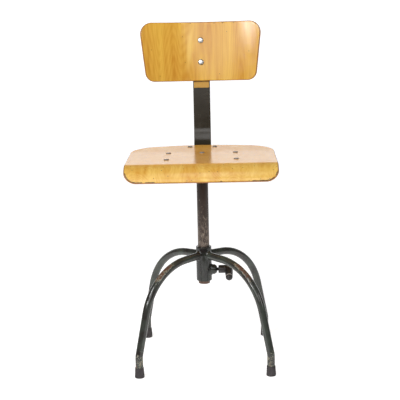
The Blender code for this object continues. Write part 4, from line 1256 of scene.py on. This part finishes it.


# The zinc heads' rim is painted a little darker: painted shade.
aged_zinc = plated_steel(
    "aged_zinc_plate", "B8B3AD", "E2DEDA", rim_tint="948E88", smoothest=0.38, roughest=0.55
)
seat_bolts = {}
for corner in CORNERS:
    x = SEAT_BOLT_HALF_WIDTH * (1 if "right" in corner else -1)
    y = SEAT_BOLT_HALF_DEPTH * (1 if "rear" in corner else -1)
    seat_bolts["_" + corner] = Matrix.Translation(seat_place(x, y, 0))
plate_grip = SEAT_THICKNESS + CONTACT_GAP + PLATE_THICKNESS
fasten("seat", "seat_column", seat_bolts, SEAT_BOLT_HEAD, plate_grip, True, aged_zinc, aged_zinc)
strap_bolt = Matrix.Translation(seat_place(0, SEAT_BOLT_HALF_DEPTH, 0))
strap_grip = plate_grip + CONTACT_GAP + STRAP_THICKNESS
fasten("strap", "seat_column", {"": strap_bolt}, SEAT_BOLT_HEAD, strap_grip, True, aged_zinc, aged_zinc)
keeper_along = seat_rear - KEEPER_FROM_REAR
keeper_tilt = Matrix.Rotation(SEAT_RISE_TURN, 4, "X")
keeper_bolts = {
    "_" + name: Matrix.Translation(seat_place(x, keeper_along, 0)) @ keeper_tilt
    for name, x in (("left", -KEEPER_BOLT_HALF_WIDTH), ("right", KEEPER_BOLT_HALF_WIDTH))
}
keeper_grip = SEAT_THICKNESS + CONTACT_GAP + KEEPER_THICKNESS
fasten("keeper", "seat_column", keeper_bolts, SEAT_BOLT_HEAD, keeper_grip, False, aged_zinc, aged_zinc)

# Strap guide: a hat-shaped steel bracket bolted up to the seat's rear edge, bent from strip.
# The back strap slides through it.

STRAP_WIDTH = 0.050
KEEPER_DEPTH = 0.018
KEEPER_BEND_RADIUS = 0.0015
KEEPER_SIDE_GAP = 0.001
KEEPER_MARGIN = 0.009
KEEPER_CORNER = 0.003
KEEPER_RIM_EASE = 0.0004
KEEPER_CUT = math.radians(10)
KEEPER_STEP = 0.003

strap_top = plate_low.z - CONTACT_GAP
keeper_frame = Matrix.Translation(seat_place(0, keeper_along, -SEAT_THICKNESS)) @ keeper_tilt
hang = keeper_frame.translation.z - strap_top + STRAP_THICKNESS
hang += KEEPER_DEPTH / 2 * math.tan(SEAT_RISE_TURN) + CONTACT_GAP
keeper_floor = hang * math.cos(SEAT_RISE_TURN)
keeper_web = STRAP_WIDTH / 2 + KEEPER_SIDE_GAP
keeper_outer = KEEPER_BEND_RADIUS + KEEPER_THICKNESS
keeper_end = KEEPER_BOLT_HALF_WIDTH + KEEPER_MARGIN
right_angle = math.pi / 2
flange_run = (keeper_end - keeper_web - keeper_outer, 0)
wall_run = (keeper_floor - CONTACT_GAP - KEEPER_BEND_RADIUS - keeper_outer, 0)
brow = (keeper_outer * right_angle, -right_angle)
cove = (KEEPER_BEND_RADIUS * right_angle, right_angle)
keeper_runs = [
    flange_run, brow, wall_run, cove,
    (2 * (keeper_web - KEEPER_BEND_RADIUS), 0),
    cove, wall_run, brow, flange_run,
]
keeper_line = bent_line((-keeper_end, -CONTACT_GAP), 0, keeper_runs)
keeper_length = sum(length for length, turn in keeper_runs)
keeper_cuts = []
run_start = 0.0
for length, turn in keeper_runs:
    step = length * KEEPER_CUT / (abs(turn) or KEEPER_CUT)
    keeper_cuts += [run_start, *spaced(run_start, run_start + length, step)]
    run_start += length


def strip_outline(width, length, corner, step):
    """The outline of a strip that starts at y = 0, with four like corners."""
    side = width / 2
    return rounded_outline([
        (-side, 0, corner), (side, 0, corner), (side, length, corner), (-side, length, corner),
    ], step)


def keeper_place(y, along, height):
    """The bent place of a flat point of the guide's strip, which runs across the seat."""
    point, angle = keeper_line(along)
    return keeper_frame @ Vector((
        point.x - math.sin(angle) * height, -y, point.y + math.cos(angle) * height,
    ))


keeper_outline = strip_outline(KEEPER_DEPTH, keeper_length, KEEPER_CORNER, KEEPER_STEP)
keeper = flat_blank("strap_guide", keeper_outline, KEEPER_THICKNESS, KEEPER_RIM_EASE)
score(ALONG, keeper_cuts[1:])
close(keeper, black_paint)
press(keeper, keeper_place)
settle(keeper, "seat_column", "dark_steel", "strap_keeper")

# Back strap: a flat bar of spring steel, bent up behind the seat, that carries the backrest.
# It is slotted for the clamping bolt and enamelled olive-black.

STRAP_FRONT = 0.0417
STRAP_TUCK = 0.032
STRAP_BEND_RADIUS = 0.072
STRAP_RECLINE = math.radians(4)
STRAP_CORNER = 0.006
STRAP_RIM_EASE = 0.0004
STRAP_CUT = math.radians(2.5)
STRAP_STEP = 0.004
STRAP_TRAVEL = 0.012
SLOT_RADIUS = 0.0033
SLOT_SIDES = 32
BACK_ABOVE_SEAT = 0.2745
STRAP_PAST_MIDDLE = 0.055

# Olive-black enamel on flat bar: half-gloss, with a slight orange peel and thin rubbed spots.
strap_enamel, add = new_material("olive_black_stove_enamel")
where = add("TexCoord").outputs["Object"]
cloud = add("TexNoise", {"Vector": where, "Scale": 1 / 0.025, "Detail": 5.0})
colour = add("Mix", {"Factor": cloud, "A": "1F180B", "B": "2C2413"})
rough = add("MapRange", {"Value": cloud, "To Min": 0.18, "To Max": 0.28})
peel = add("TexNoise", {"Vector": where, "Scale": 1 / 0.005, "Detail": 2.0})
bump = add("Bump", {"Height": peel, "Strength": 0.1, "Distance": 0.0001})
shader = add("BsdfPrincipled", {"Base Color": colour, "Roughness": rough, "Normal": bump})
add("OutputMaterial", {"Surface": shader})

strap_turn = math.pi / 2 - STRAP_RECLINE
strap_flat = seat_rear - STRAP_TUCK - STRAP_FRONT
strap_bend = STRAP_BEND_RADIUS * strap_turn
bend_rise = STRAP_BEND_RADIUS * (1 - math.cos(strap_turn))
strap_to_middle = (seat_top + BACK_ABOVE_SEAT - strap_top - bend_rise) / math.sin(strap_turn)
strap_length = strap_flat + strap_bend + strap_to_middle + STRAP_PAST_MIDDLE
strap_line = bent_line((axis.y + STRAP_FRONT, strap_top), 0, [
    (strap_flat, 0), (strap_bend, strap_turn), (strap_to_middle + STRAP_PAST_MIDDLE, 0),
])
strap_outline = strip_outline(STRAP_WIDTH, strap_length, STRAP_CORNER, STRAP_STEP)
strap = flat_blank("bent_back_strap", strap_outline, STRAP_THICKNESS, STRAP_RIM_EASE, holds=1)
score(ALONG, spaced(strap_flat, strap_flat + strap_bend, STRAP_BEND_RADIUS * STRAP_CUT))
score(ALONG, [strap_flat, strap_flat + strap_bend])
close(strap, strap_enamel)
slot_middle = SEAT_BOLT_HALF_DEPTH - STRAP_FRONT
slot = begin(
    "strap_slot", bpy.ops.mesh.primitive_cylinder_add, vertices=SLOT_SIDES, radius=SLOT_RADIUS,
    depth=4 * STRAP_THICKNESS, location=(0, slot_middle, 0),
)
pick("VERT", lambda at, way: at.y > slot_middle)
bpy.ops.transform.translate(value=(0, STRAP_TRAVEL, 0))
pick("VERT", lambda at, way: at.y < slot_middle)
bpy.ops.transform.translate(value=(0, -STRAP_TRAVEL, 0))
bpy.ops.object.mode_set(mode="OBJECT")
bpy.ops.object.select_all(action="DESELECT")
bpy.context.view_layer.objects.active = strap
cut = strap.modifiers.new("slot", "BOOLEAN")
cut.object = slot
bpy.ops.object.modifier_apply(modifier=cut.name)
bpy.data.objects.remove(slot)
press(strap, pressed_along(strap_line))
settle(strap, "back", "strap_enamel", "back_strap")

# Backrest: one sheet of the same plywood, pressed to a curve round the sitter's back.
# It is wider at the top, with round corners, and its grain stands upright with one pale streak.

BACK_THICKNESS = 0.009
BACK_HEIGHT = 0.172
BACK_TOP_WIDTH = 0.3635
BACK_BOTTOM_WIDTH = 0.324
BACK_TOP_CORNER = 0.034
BACK_BOTTOM_CORNER = 0.028
BACK_CURVE_RADIUS = 0.450
BACK_RIM_EASE = 0.0022
BACK_NICKS = (-0.029, 0.041, 0.066, 0.098)
BACK_NICK_HALF_WIDTH = 0.0035
BACK_NICK_FADE = 0.002
BACK_CRUMBS = 110
BACK_CRUMB_SEED = 3
BACK_CRUMB_EDGE = (0.35, 0.6)
BACK_CRUMB_WEIGHT = 0.6
BACK_STREAK = ((-0.034, 0.004), 0.0085, 0.060, "E8C060")

back_ply = varnished_ply(
    "varnished_back_plywood", shade="C2842A", light="E2B44C", deep="D89A3C",
    contrast=0.25, gloss=0.11, draw=1, speck_spacing=0.09, streak=BACK_STREAK,
)
middle_point = strap_line(strap_flat + strap_bend + strap_to_middle)[0]
back_lean = Matrix.Rotation(-STRAP_RECLINE, 4, "X")
back_frame = Matrix.Translation((axis.x, middle_point.x, middle_point.y)) @ back_lean
back_face = -CONTACT_GAP - BACK_THICKNESS


def back_place(across, up, height):
    """The pressed place of a flat point of the backrest, bent about an upright axis before it."""
    angle = across / BACK_CURVE_RADIUS
    radius = BACK_CURVE_RADIUS - height
    return back_frame @ Vector((
        radius * math.sin(angle), back_face - BACK_CURVE_RADIUS + radius * math.cos(angle), up,
    ))


def back_chip(across, up, height):
    """A few nicks along the top edge, and slight wear on the rest of the front rim."""
    if height < -CHIP_FACE_DEPTH:
        return 0.0
    nick = max(ease(BACK_NICK_HALF_WIDTH - abs(across - place), 0, BACK_NICK_FADE) for place in BACK_NICKS)
    crumb = noise.noise(Vector((across * BACK_CRUMBS, up * BACK_CRUMBS, BACK_CRUMB_SEED)))
    return max(nick if up > 0 else 0, BACK_CRUMB_WEIGHT * ease(crumb, *BACK_CRUMB_EDGE))


half_height = BACK_HEIGHT / 2
back_outline = rounded_outline([
    (-BACK_BOTTOM_WIDTH / 2, -half_height, BACK_BOTTOM_CORNER),
    (BACK_BOTTOM_WIDTH / 2, -half_height, BACK_BOTTOM_CORNER),
    (BACK_TOP_WIDTH / 2, half_height, BACK_TOP_CORNER),
    (-BACK_TOP_WIDTH / 2, half_height, BACK_TOP_CORNER),
])
back = flat_blank("plywood_backrest", back_outline, BACK_THICKNESS, BACK_RIM_EASE, SHEET_HOLDS)
score(ACROSS, spaced(-BACK_TOP_WIDTH / 2, BACK_TOP_WIDTH / 2, SHEET_GRID))
close(back, back_ply)
mark_rim(back, back_outline, BACK_THICKNESS, back_chip)
press(back, back_place)
settle(back, "back", "varnished_plywood", "backrest")

# Back fasteners: two bright coach bolts through the backrest and the strap, with washers and nuts
# behind. Their domes are polished by the sitter's back.

BACK_BOLT_HEAD = (0.00825, 0.0038)
BACK_BOLT_SPACING = 0.064
BACK_BOLT_RISE = 0.001

# The nickel domes' rim is painted dark brown: painted shade and a painted reflection of the wood.
bright_nickel = plated_steel(
    "polished_nickel_plate", "EFEDEB", "FAF9F8", rim_tint="352B24", smoothest=0.26, roughest=0.34
)
dull_zinc = plated_steel(
    "dull_zinc_plate", "8A8681", "C6C2BD", rim_tint="6E6964", smoothest=0.28, roughest=0.5
)
back_bolts = {}
for name, side in (("_upper", 1), ("_lower", -1)):
    head = back_place(0, side * BACK_BOLT_SPACING / 2 + BACK_BOLT_RISE, 0)
    back_bolts[name] = Matrix.Translation(head) @ Matrix.Rotation(math.pi / 2 - STRAP_RECLINE, 4, "X")
back_grip = BACK_THICKNESS + CONTACT_GAP + STRAP_THICKNESS
fasten("back", "back", back_bolts, BACK_BOLT_HEAD, back_grip, True, bright_nickel, dull_zinc)

# Blank plate: a small brass plate on the strap just below the backrest, with nothing on it.
# It is stamped from thin sheet, with rounded corners and a raised border.

LABEL_MARGIN = 0.0025
LABEL_HEIGHT = 0.018
LABEL_THICKNESS = 0.0006
LABEL_BELOW_BACK = 0.0015
LABEL_CORNER = 0.002
LABEL_BORDER = 0.0012
LABEL_SUNK = 0.0002
LABEL_EASE = 0.0001

label_width = STRAP_WIDTH - 2 * LABEL_MARGIN
label_up = -half_height - LABEL_BELOW_BACK - LABEL_HEIGHT / 2
label = begin(
    "blank_brass_plate", bpy.ops.mesh.primitive_cube_add, size=1,
    location=(0, 0, LABEL_THICKNESS / 2), scale=(label_width, LABEL_HEIGHT, LABEL_THICKNESS),
)
pick("EDGE", lambda at, way: abs(way.z) > UPRIGHT)
bpy.ops.mesh.bevel(offset=LABEL_CORNER, segments=6)
pick("FACE", lambda at, way: way.z > UPRIGHT)
bpy.ops.mesh.inset(thickness=LABEL_BORDER)
bpy.ops.mesh.inset(thickness=LABEL_SUNK)
bpy.ops.transform.translate(value=(0, 0, -LABEL_SUNK))
pick("EDGE", lambda at, way: at.z > LABEL_THICKNESS - LABEL_EASE / 10 and abs(way.z) < LEVEL)
bpy.ops.mesh.bevel(offset=LABEL_EASE, segments=2)
close(label, brass, crease=30)
label.data.transform(
    back_frame @ Matrix.Translation((0, -CONTACT_GAP, label_up)) @ Matrix.Rotation(math.pi / 2, 4, "X")
)
settle(label, "back", "brass", "label_plate")

# Studio: a sweep of white paper that runs up behind the chair, and soft light from large boxes.
# The camera stands where the photograph's did, a little above the backrest, and leans a touch.

SWEEP_HALF_WIDTH = 5.0
SWEEP_FRONT = -1.3
SWEEP_BEND = 2.6
SWEEP_RADIUS = 0.9
SWEEP_HEIGHT = 2.3
SWEEP_STEPS = 24
AMBIENT = 0.1
CAMERA_PLACE = (0.0454, -2.8574, 0.9587)
CAMERA_YAW = math.radians(1.074)
CAMERA_PITCH = math.radians(10.28)
CAMERA_ROLL = math.radians(-1.275)
CAMERA_LENS = 92.93

# White background paper: matt and even, a little self-lit, most on the floor, so that it stays white.
paper, add = new_material("white_background_paper")
where = add("TexCoord").outputs["Object"]
fibre = add("TexNoise", {"Vector": where, "Scale": 1 / 0.002, "Detail": 3.0})
colour = add("Mix", {"Factor": fibre, "A": "F4F4F4", "B": "FAFAFA"})
depth = add("SeparateXYZ", {"Vector": where}).outputs["Y"]
glow = add("MapRange", {
    "Value": depth, "From Min": 0.6, "From Max": SWEEP_BEND, "To Min": 0.66, "To Max": 0.56,
})
shader = add("BsdfPrincipled", {
    "Base Color": colour, "Roughness": 0.9, "Emission Color": (1, 1, 1, 1), "Emission Strength": glow,
})
add("OutputMaterial", {"Surface": shader})

sweep_middle = Vector((0, (SWEEP_FRONT + SWEEP_BEND) / 2, 0))
sweep = begin("paper_sweep", bpy.ops.mesh.primitive_plane_add, size=1, location=sweep_middle)
bpy.ops.transform.resize(
    value=(2 * SWEEP_HALF_WIDTH, SWEEP_BEND - SWEEP_FRONT, 1), center_override=sweep_middle
)
pick("EDGE", lambda at, way: at.y > SWEEP_BEND - NEAR)
bpy.ops.mesh.spin(
    steps=SWEEP_STEPS, angle=math.pi / 2, center=(0, SWEEP_BEND, SWEEP_RADIUS), axis=-ACROSS
)
extrude(UP * (SWEEP_HEIGHT - SWEEP_RADIUS))
close(sweep, paper, crease=60)

for name, place, aim, size, power in (
    ("key_softbox", (-1.5, -2.1, 2.5), (0.1, 0.1, 0.7), (1.1, 1.1), 46),
    ("gloss_panel", (-1.72, -2.4, 1.46), (0, 0, 0.85), (0.7, 0.46), 16),
    ("fill_softbox", (2.3, -1.9, 1.7), (0, 0, 0.6), (1.0, 1.4), 17),
    ("front_softbox", (0, -1.65, 2.4), (0, 0.15, 0.62), (0.5, 1.5), 5.5),
    ("camera_panel", (-0.5, -2.5, 1.42), (0, 0, 0.85), (2.2, 0.9), 15),
    ("top_softbox", (0, 0.3, 3.0), (0, 0, 0), (4.0, 4.0), 4),
):
    bpy.ops.object.light_add(type="AREA", location=place)
    light = bpy.context.object
    light.name = name
    light.rotation_euler = (Vector(aim) - Vector(place)).to_track_quat("-Z", "Y").to_euler()
    light.data.shape = "ELLIPSE"
    light.data.size, light.data.size_y = size
    light.data.energy = power

world = bpy.data.worlds.new("studio")
world.use_nodes = True
background = world.node_tree.nodes["Background"]
background.inputs["Color"].default_value = (1, 1, 1, 1)
background.inputs["Strength"].default_value = AMBIENT
bpy.context.scene.world = world
bpy.context.scene.view_settings.view_transform = "Standard"

bpy.ops.object.camera_add()
camera = bpy.context.object
camera.name = "photo_camera"
camera.data.lens = CAMERA_LENS
camera.matrix_world = (
    Matrix.Translation(CAMERA_PLACE)
    @ Matrix.Rotation(CAMERA_YAW, 4, "Z")
    @ Matrix.Rotation(math.pi / 2 - CAMERA_PITCH, 4, "X")
    @ Matrix.Rotation(CAMERA_ROLL, 4, "Z")
)
bpy.context.scene.camera = camera
